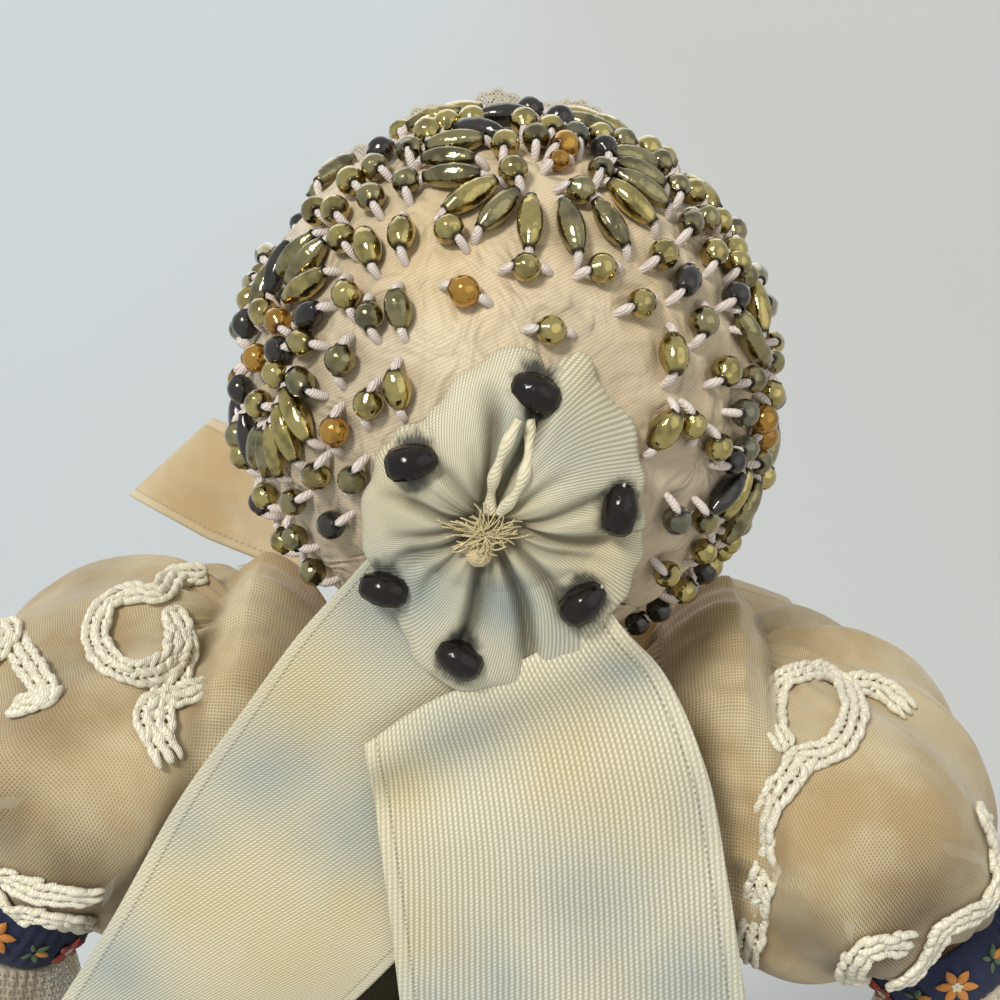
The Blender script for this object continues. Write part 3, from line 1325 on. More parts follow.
def puffed_sleeve(side, node, seed):
    """A balloon sleeve between its armhole seam and its cuff."""
    columns = 300
    reaches = sleeve_reach(np.arange(columns) / columns * TURN)

    def at(down, across):
        angle = across * TURN
        reach = np.interp(across, np.arange(columns + 1) / columns, np.append(reaches, reaches[0]))
        spread = CUFF_SPREAD + (reach - CUFF_SPREAD) * down
        facing = sleeve_direction(spread, angle)
        base = 1 / np.linalg.norm(facing / SLEEVE_HALF, axis=1)
        near_cuff, near_arm = np.exp(-down * 5), np.exp(-(1 - down) * 5)
        gathers = np.sin(angle * 24 + 2.2 * np.sin(angle * 5 + seed)) * (near_cuff + near_arm) * 0.55
        big = np.sin(angle * 9 + 1.7 * np.sin(angle * 2 + seed)) * (0.5 + 0.4 * np.sin(down * math.pi))
        soft = crumple(seed, facing * 24, 8.0) * 1.4 * np.sin(down * math.pi) ** 0.7
        pinch = -0.9 * near_arm
        turned = np.degrees(np.arctan2(facing[:, 2], facing[:, 0]))
        sink = -np.interp(turned, *sink_table(node)) * (1 - facing[:, 1] ** 2)
        points = SLEEVE_MIDDLE + facing * (base + gathers * 0.9 + big * 1.0 + soft - 0.8 + pinch + sink)[:, None]
        points[:, 0] = np.maximum(points[:, 0], ARMHOLE_X) * side
        return points

    made = cloth(f"sleeve_organza_{node}", at, 120, columns, closed=True, uv=(150, 60))
    turn_outwards(made)
    patches(made, "low", LOW_PATCHES[node], 18)
    return made


def organza(name, pale, shade):
    """Sheer stiffened muslin: an open net of fine threads, a little yellowed."""
    finish = Finish(name, Sheen_Weight=0.25, Specular_IOR_Level=0.3)
    u, v, _ = finish.split(finish.cloth_place())
    place = finish.place()
    thread = 0.34
    sway = finish.noise(place, 120, 2) * 1.2
    net = finish.most(finish.wave(u / thread + sway), finish.wave(v / thread + sway))
    threads = finish.step(net, 0.45, 0.9)
    colour = finish.mottled(pale, shade, 75, 0.35, 0.68)
    low = finish.attribute("low") * (0.6 + 0.5 * finish.noise(place, 130, 2))
    colour = finish.blend(finish.least(low * 0.9, 1.0), colour, "#84765e", "MULTIPLY")
    gap = finish.blend(low, "#ab9262", "#3f3322")
    colour = finish.blend((1 - threads) * (0.5 + 0.4 * low), colour, gap)
    folded = finish.step(finish.noise(place, 42, 2, 0.5), 0.35, 0.62)
    cover = finish.least(threads * 0.4 + 0.6 + folded * 0.2, 1.0)
    return finish.set(
        Base_Color=colour, Alpha=cover * (1 - finish.attribute("fade")), Roughness=0.6 + 0.15 * (1 - threads),
        Normal=finish.bump(threads, 0.012)
    ).material


sheer = organza("organza", "#d8c8a2", "#bda377")
sleeve_skins = {}
for side, name, seed in ((1, "left", 3), (-1, "right", 8)):
    made = puffed_sleeve(side, name, seed)
    area = flat_area(made)
    dress(made, sheer, f"arm_{name}", f"sleeve_{name}", slot="organza")
    sleeve_skins[name] = hide_of(made)


# ---------------------------------------------------------------- chain-stitched cord
cord_thread = thread_finish("cord_thread", "#fffae6", "#d2c294", 0.3)


def link_mould():
    """One plump V of a chain stitch: two strands that meet at its foot."""
    strands = []
    for side in (1, -1):
        path = bend_through(
            np.array([[0.05 * side, 0.1, -0.62]]), np.array([[0.62 * side, 0.42, -0.25]]),
            np.array([[0.42 * side, 0.12, 0.66]]), 6,
        )
        strands.append(tube("strand", path, [0.16, 0.24, 0.29, 0.3, 0.26, 0.16], 6))
    made = joined("mould_link", strands)
    made.hide_render = made.hide_viewport = True
    return made


chain_mould = link_mould()
# Millimetres from stitch to stitch, and from a cord's middle to each of its two rows
CHAIN_PITCH, CHAIN_HALF = 0.86, 0.56


def chain_cord(name, body, runs, node):
    """Chain stitches along runs of places and outward directions."""
    places, turns = [], []
    for spots, normals in runs:
        spots, normals = np.array(spots), np.array(normals)
        gaps = np.linalg.norm(np.diff(spots, axis=0), axis=1)
        length = gaps.sum()
        count = max(2, int(length / CHAIN_PITCH))
        run = np.concatenate([[0], np.cumsum(gaps)]) / length
        shares = (np.arange(count) + 0.5) / count
        line = np.stack([np.interp(shares, run, spots[:, i]) for i in range(3)], 1)
        out = unit(np.stack([np.interp(shares, run, normals[:, i]) for i in range(3)], 1))
        along = unit(np.gradient(line, axis=0))
        for p, n, t in zip(line, out, along):
            z = Vector(unit(t + chance.normal(size=3) * 0.1)).normalized()
            y = Vector(unit(n + chance.normal(size=3) * 0.16))
            y = (y - z * y.dot(z)).normalized()
            turns.append(Matrix((y.cross(z), y, z)).transposed().to_euler())
            places.append(p + n * chance.uniform(0.2, 0.42))
    sizes = [tuple(np.array([1.4, 1.45, 1.45]) * chance.uniform(0.88, 1.16)) for _ in places]
    made = sewn(name, chain_mould, places, turns, sizes, cord_thread)
    dress(made, cord_thread, body, node, slot="lace")


def cast_run(skin, pixels, aside):
    """A line of the photograph laid on a skin, moved aside on it by some millimetres."""
    rows = np.array(pixels, float)
    path = spline(np.column_stack([rows, np.zeros(len(rows))]), np.linspace(0, 1, 90))
    hits = [seen_on(skin, px, py, 20) for px, py, _ in path]
    spots, normals = np.array([h[0] for h in hits]), np.array([h[1] for h in hits])
    for _ in range(3):
        normals[1:-1] = unit(normals[:-2] + normals[1:-1] * 2 + normals[2:])
        spots[1:-1] = (spots[:-2] + spots[1:-1] * 2 + spots[2:]) / 4
    along = unit(np.gradient(spots, axis=0))
    return spots + unit(np.cross(normals, along)) * aside, normals


def double_runs(skin, lines):
    """Two rows of stitches side by side along each line."""
    return [cast_run(skin, line, aside) for line in lines for aside in (CHAIN_HALF, -CHAIN_HALF)]


def ring(px, py, radius, start, sweep, steps=28):
    """Pixels round a circle, from a start and through a sweep in degrees."""
    angles = [math.radians(start + sweep * i / (steps - 1)) for i in range(steps)]
    return [(px + radius * math.cos(a), py - radius * math.sin(a)) for a in angles]


SCROLLS = {
    "left": [
        [(203, 578), (170, 582)] + ring(137, 636, 40, 60, 330) + [(184, 652), (166, 690), (160, 745)],
        [(210, 690), (178, 700), (150, 712), (168, 760)],
        [(-40, 868), (0, 872), (40, 888), (95, 893)],
        [(-40, 905), (10, 908), (60, 914), (92, 918)],
        [(-60, 985), (-10, 968), (30, 962), (66, 966)],
        [(-45, 640), (-5, 622), (12, 634), (-12, 668)],
    ],
    "right": [
        ring(811, 716, 42, 230, -330) + [(795, 770), (775, 800), (766, 870), (752, 930), (748, 955)],
        [(975, 812), (990, 850), (985, 900), (940, 925), (920, 960), (880, 985), (850, 975), (862, 948), (905, 940)],
        [(850, 686), (878, 690), (905, 712)],
    ],
}
for name, lines in SCROLLS.items():
    runs = double_runs(sleeve_skins[name], lines)
    chain_cord(f"scroll_cord_{name}", f"arm_{name}", runs, f"sleeve_scroll_{name}")


# ---------------------------------------------------------------- painted celluloid
def celluloid_finish(name, hairless=True):
    """Warm moulded celluloid: a slow mottle, fine scratches and a soft gloss."""
    finish = Finish(name, Coat_Weight=0.2, Coat_Roughness=0.25, Subsurface_Weight=0.06)
    place = finish.place()
    colour = finish.mottled("#e9bd99", "#e2ad86", 55)
    scratches = finish.step(finish.noise(place, 2200, 2, 0.7), 0.66, 0.74)
    colour = finish.blend(scratches * 0.35, colour, "#c99470")
    if not hairless:
        colour = paint_head(finish, colour)
    height = finish.noise(place, 800, 2) * 0.3 + scratches * -0.5
    return finish.set(
        Base_Color=colour, Roughness=0.34 + 0.12 * finish.noise(place, 300, 2), Normal=finish.bump(height, 0.02)
    ).material


# The face is laid out in degrees round the head, and grows about the bridge of the nose
FACE_SCALE = 1.2
FACE_LEVEL = -6
# The hair line over the forehead, and how far it has come down at the temples
HAIR_TOP, HAIR_FALL, TEMPLE = 44, 52, 75


def paint_head(finish, skin):
    """Hair, brows, eyes, cheeks and lips, painted by the angles round the head."""
    x, y, z = finish.split(finish.place())
    z = z - HEAD[2] * MM
    side = finish.turn_of(x, y * -1) * DEGREES
    level = finish.turn_of(z, (x * x + y * y) ** 0.5) * DEGREES
    height = (level - FACE_LEVEL) / FACE_SCALE + FACE_LEVEL
    away = finish.size_of(side) / FACE_SCALE

    def oval(u, v, wide, tall, soft=0.1):
        over, up = (away - u) / wide, (height - v) / tall
        return 1 - finish.step((over * over + up * up) ** 0.5, 1 - soft, 1 + soft)

    colour = finish.blend(oval(33, -16, 15, 11, 0.9) * 0.45, skin, "#d9735c")
    colour = finish.blend(oval(2.3, -18.6, 1.0, 0.7, 0.5) * 0.8, colour, "#9c4a38")
    upper = finish.most(oval(1.9, -26.1, 2.5, 1.25), oval(3.9, -26.8, 2.6, 0.8))
    colour = finish.blend(upper * 0.85, colour, "#b54a44")
    colour = finish.blend(oval(0, -28.8, 3.9, 1.6, 0.2) * 0.85, colour, "#c05a51")
    colour = finish.blend(oval(0, -27.3, 5.0, 0.28, 0.5), colour, "#7d2f2b")
    colour = finish.blend(oval(19, 0.4, 6.3, 3.5), colour, "#f1ece0")
    inside = oval(19, 0.4, 6.1, 3.3)
    colour = finish.blend(oval(19, 0.7, 3.1, 3.1) * inside, colour, "#5f7d8c")
    rays = finish.wave(finish.turn_of(height - 0.7, away - 19) * 5.1) * oval(19, 0.7, 2.8, 2.8) * 0.3
    colour = finish.blend(rays * inside, colour, "#31495a")
    colour = finish.blend(oval(19, 0.7, 1.35, 1.35) * inside, colour, "#15161a")
    colour = finish.blend(oval(18, 1.9, 0.6, 0.6), colour, "#ffffff")
    lash = oval(19, 0.8, 7.0, 4.3) * (1 - oval(19, -0.2, 6.9, 3.9)) * finish.step(height, 0.6, 1.8)
    colour = finish.blend(lash, colour, "#3a251b")
    lower = oval(19, 0.1, 6.7, 3.9) * (1 - oval(19, 0.6, 6.4, 3.7)) * finish.step(height * -1, 0.4, 1.6)
    colour = finish.blend(lower * 0.6, colour, "#7a4a35")
    brow = oval(20, 8.4, 8.6, 2.6, 0.2) * (1 - oval(20, 7.2, 9.4, 2.5, 0.25))
    colour = finish.blend(brow * 0.75, colour, "#5a3a26")
    line = HAIR_TOP - side * side * (HAIR_FALL / TEMPLE**2)
    hair = finish.step(level + finish.wave(side / 7) * 1.2, line, line + 3)
    strands = finish.wave(side / 3.2 + 1.4 * finish.noise(finish.place(), 90, 2))
    brown = finish.blend(strands, "#4a2f1d", "#6d482c")
    return finish.blend(hair, colour, brown)


# Each swelling or hollow: place aside and up, half width and height in degrees, and its share of the head
FACE_RELIEF = [
    (0, 30, 34, 20, 0.03), (0, -3, 5, 9, 0.05), (0, -13, 6.5, 6, 0.11), (22, 1, 12, 9, -0.045),
    (22, 0, 7, 6, 0.03), (34, -20, 15, 13, 0.06), (0, -29, 12, 7, 0.055), (0, -38, 9, 4, -0.02),
    (0, -50, 14, 9, 0.07),
    # nose wings, upper and lower lip, the line between them, eyelids and the crease above
    (3.6, -16.4, 2.3, 2.1, 0.022), (2.2, -25.6, 2.6, 1.5, 0.012), (0, -29.2, 4.0, 1.8, 0.02),
    (0, -27.2, 6.0, 0.8, -0.016), (19, 0.5, 5.6, 3.2, 0.014), (19, 5.8, 7.5, 1.3, -0.01), (0, -22.6, 1.2, 2.0, -0.008),
]
HEAD_HALF = np.array([25.4, 25.6, 25.8])
# Where the chin passes into the neck, down the rows, and the neck's radius and end below the head's middle
CHIN_ROW, NECK_RADIUS, NECK_END = 0.84, 9.2, -32.7


def head_points(down, across):
    """The head by its angles, hair line and neck, from the crown down."""
    share = 2 * across - 1
    side = 180 * share * (np.abs(share) * 0.55 + 0.45)
    height = np.interp(down, [0, CHIN_ROW], [90, -64])
    s, h = np.radians(side), np.radians(height)
    facing = np.stack([np.sin(s) * np.cos(h), -np.cos(s) * np.cos(h), np.sin(h)], 1)
    reach = 1 / np.linalg.norm(facing / HEAD_HALF, axis=1)
    across_face, up_face = side / FACE_SCALE, (height - FACE_LEVEL) / FACE_SCALE + FACE_LEVEL
    for at_side, at_height, wide, tall, rise in FACE_RELIEF:
        up = np.exp(-(((up_face - at_height) / tall) ** 2)) * HEAD_HALF[1] * rise
        reach = reach + up * np.exp(-(((across_face - at_side) / wide) ** 2))
        if at_side:
            reach = reach + up * np.exp(-(((across_face + at_side) / wide) ** 2))
    line = HAIR_TOP - HAIR_FALL * (side / TEMPLE) ** 2
    hair = np.clip((height - line) / 7.3, 0, 1)
    hair = hair * hair * (3 - 2 * hair)
    locks = 0.5 + 0.5 * np.sin(side * 0.55 + 1.5 * np.sin(height * 0.05)) * np.cos(np.radians(height))
    reach = reach + hair * (0.45 + 0.25 * locks)
    points = facing * reach[:, None]
    low = np.clip((down - CHIN_ROW) / 0.1, 0, 1)
    ease = low * low * (3 - 2 * low)
    radius = np.hypot(points[:, 0], points[:, 1])
    close = np.clip((down - 0.95) / 0.05, 0, 1)
    wanted = (radius * (1 - ease) + NECK_RADIUS * ease) * (1 - close)
    points[:, :2] *= (wanted / np.maximum(radius, 1e-6))[:, None]
    points[:, 2] = points[:, 2] * (1 - low) + NECK_END * low
    return points + HEAD


skin_finish = celluloid_finish("celluloid_skin")
head = cloth("painted_head", head_points, 190, 210, closed=True)
reshape(head, DOUBLES, fill=True, turn=True)
smooth(head.data)
dress(head, celluloid_finish("celluloid_painted", hairless=False), "head", "head_shell", slot="celluloid")


for _, name in SIDES:
    soft_copy(f"arm_{name}_celluloid", f"arm_shell_{name}", skin_finish, f"arm_{name}", "celluloid", 0.62, 5)
    soft_copy(f"leg_{name}_celluloid", f"leg_shell_{name}", skin_finish, f"leg_{name}", "celluloid", 0.85, 7)


# ---------------------------------------------------------------- lace, linen and dark cloth
def lace(name, repeat, deep, ground, solid=0.0):
    """Cotton lace: a net ground with a row of small flowers, and a corded scalloped edge."""
    finish = Finish(name, Sheen_Weight=0.3, Specular_IOR_Level=0.3)
    u, v, _ = finish.split(finish.cloth_place())
    net = finish.most(
        finish.wave((u + v * 0.58) / ground), finish.wave((u - v * 0.58) / ground), finish.wave(v / (ground * 0.9))
    )
    threads = finish.step(net, 0.72, 0.9)
    over = (finish.part_of(u / repeat) - 0.5) * repeat
    up = v - deep * 0.62
    reach = (over * over + up * up) ** 0.5
    petals = finish.wave(finish.turn_of(up, over) * (5 / TURN)) * 0.45 + 0.55
    flower = 1 - finish.step(reach / petals, repeat * 0.26, repeat * 0.3)
    eye_hole = 1 - finish.step(reach, repeat * 0.05, repeat * 0.08)
    flower = flower * (1 - eye_hole)
    edge = deep - 0.9 + 0.8 * finish.wave(u / repeat + 0.25)
    rim = finish.step(v, edge - 0.55, edge - 0.35)
    outside = finish.step(v, edge, edge + 0.12)
    sewn_edge = 1 - finish.step(v, 0.5, 0.9)
    cover = finish.most(flower, rim, threads, sewn_edge, solid) * (1 - outside)
    colour = finish.mottled("#f1e8d4", "#dccfae", 70)
    colour = finish.blend((1 - finish.most(flower, rim)) * 0.35, colour, "#bda97f")
    weave_rows = finish.wave((u + v) / 0.22) * 0.4
    height = finish.most(flower, rim) * 1.5 + threads * 0.6 + weave_rows
    return finish.set(
        Base_Color=colour, Alpha=cover, Roughness=0.75, Normal=finish.bump(height, 0.12)
    ).material


def woven(name, pale, shade, pitch, rough=0.75, worn="#ffffff", wear=0.0, depth=0.05, gathers=0.0, sheen=0.25):
    """A plain cloth of crossing threads, with slubs, slow changes of tone and wear on its high places."""
    finish = Finish(name, Sheen_Weight=sheen, Specular_IOR_Level=0.3)
    place = finish.place()
    x, y, z = finish.split(place)
    around = finish.turn_of(x, y) * 30
    rows = plain_weave(finish, around, z / MM, pitch)
    colour = finish.mottled(pale, shade, 60, 0.33, 0.7)
    slubs = finish.noise(place, 700, 3, 0.7)
    colour = finish.blend(finish.step(slubs, 0.45, 0.75) * 0.3, colour, shade)
    colour = finish.blend(finish.step(finish.noise(place, 120, 3), 0.55, 0.8) * wear, colour, worn)
    colour = finish.blend((1 - rows) * 0.25, colour, "#6d6048", "MULTIPLY")
    height = rows + slubs * 0.6
    if gathers:
        run = finish.wave(around / 2.4 + 1.6 * finish.noise(place, 90, 2)) * gathers
        colour = finish.blend((1 - run) * 0.25, colour, "#8a7854", "MULTIPLY")
        height = height + run * 6
    return finish.set(
        Base_Color=colour, Roughness=rough + 0.12 * (slubs - 0.5), Normal=finish.bump(height, depth)
    ).material


frill_lace = lace("frill_lace", 3.4, 7.2, ground=0.8)
collar_lace = lace("collar_lace", 2.6, 4.2, ground=0.6)
flounce_lace = lace("flounce_lace", 4.2, 11.5, ground=0.9, solid=0.25)
petticoat_lace = lace("petticoat_lace", 5.0, 108.0, ground=1.1, solid=1.0)
linen = woven("linen", "#f0e7d6", "#dfd2b6", 0.42)
blouse_muslin = woven("blouse_muslin", "#dfcca4", "#c5ab7c", 0.4, 0.65, gathers=1.0)
olive_cloth = woven("olive_cloth", "#4f4428", "#3a311d", 0.4, 0.85, "#655838", 0.4, 0.06, sheen=0.05)
navy_cloth = woven("navy_cloth", "#2c3350", "#20263d", 0.36, 0.8, "#465075", 0.3, sheen=0.08)

SILK_TWIST = 0.24
SILKS = {
    key: thread_finish(f"{name}_silk", pale, shade, SILK_TWIST)
    for key, name, pale, shade in (
        ("r", "red", "#b5402c", "#8a2a20"), ("o", "orange", "#d98e34", "#b46a1e"),
        ("u", "rust", "#b8653c", "#8d4526"), ("n", "navy", "#343f6a", "#232b4c"),
        ("g", "green", "#4c6a3c", "#2f4827"), ("c", "cream", "#efe3c4", "#cfbd92"),
    )
}


# ---------------------------------------------------------------- satin-stitch embroidery
def petal_mould():
    """One satin-stitched petal: a pointed oval, domed, with a ridge for each few stitches."""
    rows, columns = 7, 5
    points = []
    for sheet_of in (1, 0):
        for r in range(rows):
            along = r / (rows - 1)
            half = 0.27 * math.sin(math.pi * along**0.85) ** 0.8 + 0.01
            for c in range(columns):
                over = 2 * c / (columns - 1) - 1
                dome = 0.16 * (1 - over * over) * math.sin(math.pi * along) ** 0.5 + 0.02 * (r % 2)
                points.append((dome * sheet_of - 0.02, over * half, along))
    top = grid_faces(rows, columns)
    low = [tuple(i + rows * columns for i in face[::-1]) for face in top]
    rim = [r * columns for r in range(rows)] + [(rows - 1) * columns + c for c in range(1, columns)]
    rim += [r * columns + columns - 1 for r in range(rows - 2, -1, -1)] + list(range(columns - 2, 0, -1))
    wall = [(a, b, b + rows * columns, a + rows * columns) for a, b in zip(rim, rim[1:] + rim[:1])]
    made = mesh_of("mould_petal", points, top + low + wall)
    turn_outwards(made)
    made.hide_render = made.hide_viewport = True
    return made


petal_template = petal_mould()
embroidery = {}


def lie_on(at, down, across, lift=0.12):
    """A place on a sheet, its outward direction, and the ways down and across it."""
    step = 0.003
    p = at(np.array([down, down + step, down]), np.array([across, across, across + step]))
    way_down, way_across = unit(p[1] - p[0]), unit(p[2] - p[0])
    normal = unit(np.cross(way_across, way_down))
    outward = p[0] * np.array([1, 1, 0])
    if normal @ outward < 0:
        normal = -normal
    return p[0] + normal * lift, normal, way_down, way_across


def petal(body, silk, place, along, normal, length, fat=1.0):
    """Puts one petal on the list of a body and a silk, to be sewn with the rest of them."""
    row = (place, frame_turn(along, normal), (length, length * fat, length))
    embroidery.setdefault((body, silk), []).append(row)


def flower(body, spot, radius, count, silk, heart, turn=0.0):
    """A ring of petals round a small heart of another silk."""
    place, normal, way_down, way_across = spot
    way_across = unit(np.cross(normal, way_down))
    for k in range(count):
        angle = turn + k * TURN / count
        way = way_down * math.cos(angle) + way_across * math.sin(angle)
        petal(body, silk, place + way * radius * 0.16, way, normal, radius * 0.9)
    for k in range(5):
        angle = k * TURN / 5
        way = way_down * math.cos(angle) + way_across * math.sin(angle)
        petal(body, heart, place + normal * 0.12 + way * radius * 0.02, way, normal, radius * 0.3, 1.6)


def sprig(body, spot, radius, silk, leaf_silk, turn=0.0):
    """A small bud on a stem between two pairs of leaves."""
    place, normal, way_down, _ = spot
    way_across = unit(np.cross(normal, way_down))
    leaves = [(angle, length, fat, leaf_silk) for angle, length, fat in
              ((0.9, 0.75, 0.9), (-0.9, 0.75, 0.9), (2.2, 0.6, 0.8), (-2.2, 0.6, 0.8))]
    for angle, length, fat, thread in [(0, 0.8, 1.0, silk)] + leaves:
        angle = turn + angle
        way = way_down * math.cos(angle) + way_across * math.sin(angle)
        petal(body, thread, place + way * radius * 0.1, way, normal, radius * length, fat)


def sew_embroidery():
    """Sews each silk of each body as one piece."""
    for (body, silk), rows in embroidery.items():
        places, turns, sizes = zip(*rows)
        made = sewn(f"embroidery_{body}_{silk}", petal_template, places, turns, sizes, SILKS[silk])
        dress(made, SILKS[silk], body, slot="thread")


# ---------------------------------------------------------------- frill, collar, ribbon and knot at the neck
NECK_Z = 247


def face_frill_points(down, across):
    angle = np.radians(-36.5 + 253 * across)
    gather = 0.25 * np.sin(54 * angle) * np.exp(-down * 3)
    out = down * 1.75 + 0.8 * down * np.sin(18 * angle + 0.5 * np.sin(5 * angle)) + gather + 0.1
    z = (26.75 + out) * np.sin(angle)
    x = (26.4 + out) * np.cos(angle)
    y = -9 - z * FRONT_TILT - 0.6 - 7 * down + 0.5 * down * np.cos(18 * angle)
    return np.stack([x, y, z], 1) + HEAD


frill = cloth("face_frill_lace", face_frill_points, 20, 520, wall=0.35, uv=(220, 7.4))
dress(frill, frill_lace, "head", "face_frill", slot="lace")
declare_sheet(frill)


def collar_points(down, across):
    angle = across * TURN
    ruffle = 0.5 * np.cos(12 * angle + 0.4 * np.sin(5 * angle)) * down
    radius = 10.35 + 4.1 * down + 0.25 * np.sin(36 * angle) * (1 - down)
    z = NECK_Z - 0.45 - 1.8 * down + ruffle
    return np.stack([radius * np.cos(angle), radius * np.sin(angle), z], 1)


collar = cloth("collar_lace_frill", collar_points, 14, 240, True, 0.35, (101.4, 4.2))
dress(collar, collar_lace, "torso", "collar_frill", slot="lace")
declare_sheet(collar)


def neck_ribbon_points(down, across):
    angle = across * TURN
    radius = 9.8 + 0.1 * np.sin(down * 9 + 3 * np.sin(angle * 3)) + 0.08 * np.sin(angle * 7 + down * 4)
    return np.stack([radius * np.cos(angle), radius * np.sin(angle), NECK_Z + 0.35 + 5.5 * down], 1)


neck_ribbon = cloth(
    "neck_ribbon_satin", neck_ribbon_points, 24, 160, True, 0.45, (61, 5.5)
)
dress(neck_ribbon, cream_satin, "torso", "neck_ribbon", slot="cream_satin")
declare_sheet(neck_ribbon)


def knot(name, middle, half, node, material, folds=7):
    """A pulled ribbon knot: a rounded wrap whose folds run in at its two sides."""
    middle, half = np.array(middle, float), np.array(half, float)

    def at(down, across):
        polar, angle = math.pi * np.clip(down, 0.004, 0.996), across * TURN
        fold = 1 + 0.07 * np.sin(folds * angle + 1.3 * np.cos(polar)) * np.sin(polar) ** 0.5
        pinch = 1 - 0.22 * np.exp(-((np.cos(polar) / 0.35) ** 2)) * np.abs(np.sin(angle)) ** 6
        ball = np.stack([np.cos(polar), np.sin(polar) * np.cos(angle), np.sin(polar) * np.sin(angle)], 1)
        return middle + ball * half * (fold * pinch)[:, None]

    made = cloth(name, at, 60, 72, True, uv=lambda d, a: np.stack([d * 12, a * 18], 1))
    reshape(made, 2e-5, fill=True, turn=True)
    smooth(made.data)
    dress(made, material, "torso", node, slot="cream_satin")


knot("bow_knot", BOW_KNOT, (4.2, 4.2, 2.6), "neck_knot", cream_satin)


# ---------------------------------------------------------------- blouse, bodice and waist
# The torso's outline: share of its height, then of its half width and of its half depth
TORSO_FOOT, TORSO_RISE = 112, 135
TORSO_WIDE, TORSO_DEEP = 27, 17
TORSO = np.array([
    [0, 0.33, 0.47], [0.03, 0.62, 0.75], [0.09, 0.92, 0.94], [0.17, 1, 1], [0.25, 0.97, 1], [0.34, 0.87, 0.94],
    [0.43, 0.77, 0.88], [0.54, 0.8, 0.9], [0.69, 0.86, 0.88], [0.8, 0.88, 0.85], [0.875, 0.84, 0.76],
    [0.93, 0.66, 0.65], [0.965, 0.45, 0.58], [1, NECK_RADIUS / TORSO_WIDE, NECK_RADIUS / TORSO_DEEP],
])


def torso_half(z):
    """The torso's half width and half depth at a height."""
    height = (z - TORSO_FOOT) / TORSO_RISE
    return [half * np.interp(height, TORSO[:, 0], TORSO[:, i]) for i, half in ((1, TORSO_WIDE), (2, TORSO_DEEP))]


def waist_ring(low, high, offset):
    """A band round the torso between two heights, some millimetres off it."""
    def at(down, across):
        angle, z = across * TURN, low + (high - low) * (1 - down)
        wide, deep = torso_half(z)
        rib = 0.09 * np.sin(down * math.pi * 6)
        return np.stack([(wide + offset + rib) * np.cos(angle), (deep + offset + rib) * np.sin(angle), z], 1)
    return at


muslin = soft_copy("blouse_muslin_body", "blouse", blouse_muslin, "torso", "organza", 0.75, 4)
soft_copy("bodice_cloth", "bodice", olive_cloth, "torso", "dark_cloth", 0.72, 12)

bodice_at = waist_ring(172.5, 226, 2.25)


def bodice_line(pairs, lift, steps=60):
    """Places on the bodice along a line of (angle from straight ahead, height) pairs."""
    rows = spline(np.column_stack([pairs, np.zeros(len(pairs))]), np.linspace(0, 1, steps))
    places = []
    for degrees, z, _ in rows:
        wide, deep = torso_half(np.array(z))
        angle = math.radians(degrees - 90)
        places.append([(wide + lift) * math.cos(angle), (deep + lift) * math.sin(angle), z])
    return np.array(places)


def bodice_edging(name, lines, lift, radius, steps, way_lift=0.0):
    """Tubes along lines on the bodice and along the same lines mirrored."""
    return [
        tube(name, bodice_line([(way * degrees, z) for degrees, z in line], lift + way_lift * way, steps), radius, 7)
        for line in lines
        for way in (1, -1)
    ]


LACE_ROWS, LACE_FOOT, LACE_RISE, LACE_SIDE = 6, 177, 8, 17


def bodice_trim():
    """Crossed lacing between two rows of brass eyes, and the braid along the seams."""
    crossed = [
        [(-LACE_SIDE, low), (0, low + LACE_RISE / 2), (LACE_SIDE, low + LACE_RISE)]
        for low in (LACE_FOOT + row * LACE_RISE for row in range(LACE_ROWS))
    ]
    lacing = joined("bodice_lacing", bodice_edging("lace", crossed, 2.95, 0.5, 14, way_lift=0.2))
    dress(lacing, SILKS["r"], "torso", slot="thread")
    edges = bodice_edging("edge", [[(20, 173), (20, 200), (20, 225)]], 2.5, 0.55, 40)
    edges += bodice_edging("edge", [[(62, 173.5), (55, 200), (50, 218)]], 2.4, 0.4, 40)
    for way in (1, -1):
        back = [(180 + way * 55, 173.5), (180 + way * 42, 200), (180 + way * 36, 222)]
        edges.append(tube("edge", bodice_line(back, 2.4, 40), 0.4, 7))
    braid = joined("bodice_braid", edges)
    dress(braid, SILKS["o"], "torso", slot="thread")
    angle = np.linspace(0, TURN, 12, endpoint=False)
    hooks = []
    for row in range(LACE_ROWS + 1):
        for way in (1, -1):
            z = LACE_FOOT + row * LACE_RISE
            spot = bodice_line([(LACE_SIDE * way, z), (LACE_SIDE * way, z + 0.1)], 2.75, 2)[0]
            loop = spot + np.stack([np.cos(angle), 0.25 * way * np.cos(angle), np.sin(angle)], 1) * 0.95
            hooks.append(tube("hook", loop, 0.28, 6, closed=True))
    eyelets = joined("bodice_eyelets", hooks)
    dress(eyelets, GLASSES["g"], "torso", slot="button_brass")


bodice_trim()
for k in range(5):
    for way in (1, -1):
        spot = lie_on(bodice_at, 0.16 + 0.17 * k, (0.75 + way * 0.105) % 1, 0.12)
        if k % 2:
            sprig("torso", spot, 3.0, "r", "g", math.pi)
        else:
            flower("torso", spot, 3.0, 6, "rour"[k // 2], "c", 0.3)
        spot = lie_on(bodice_at, 0.16 + 0.17 * k, (0.25 + way * 0.05) % 1, 0.12)
        if k % 2 == 0:
            sprig("torso", spot, 3.0, "o", "g", math.pi)
        else:
            flower("torso", spot, 3.0, 6, "ur"[k // 2 % 2], "o", 0.3)


# The gathers over each armhole seam run between these distances from the middle, about this height
GATHERS_IN, GATHERS_SEAM, GATHERS_OUT = 18.5, 27.2, 32
GATHERS_Z = 236.0


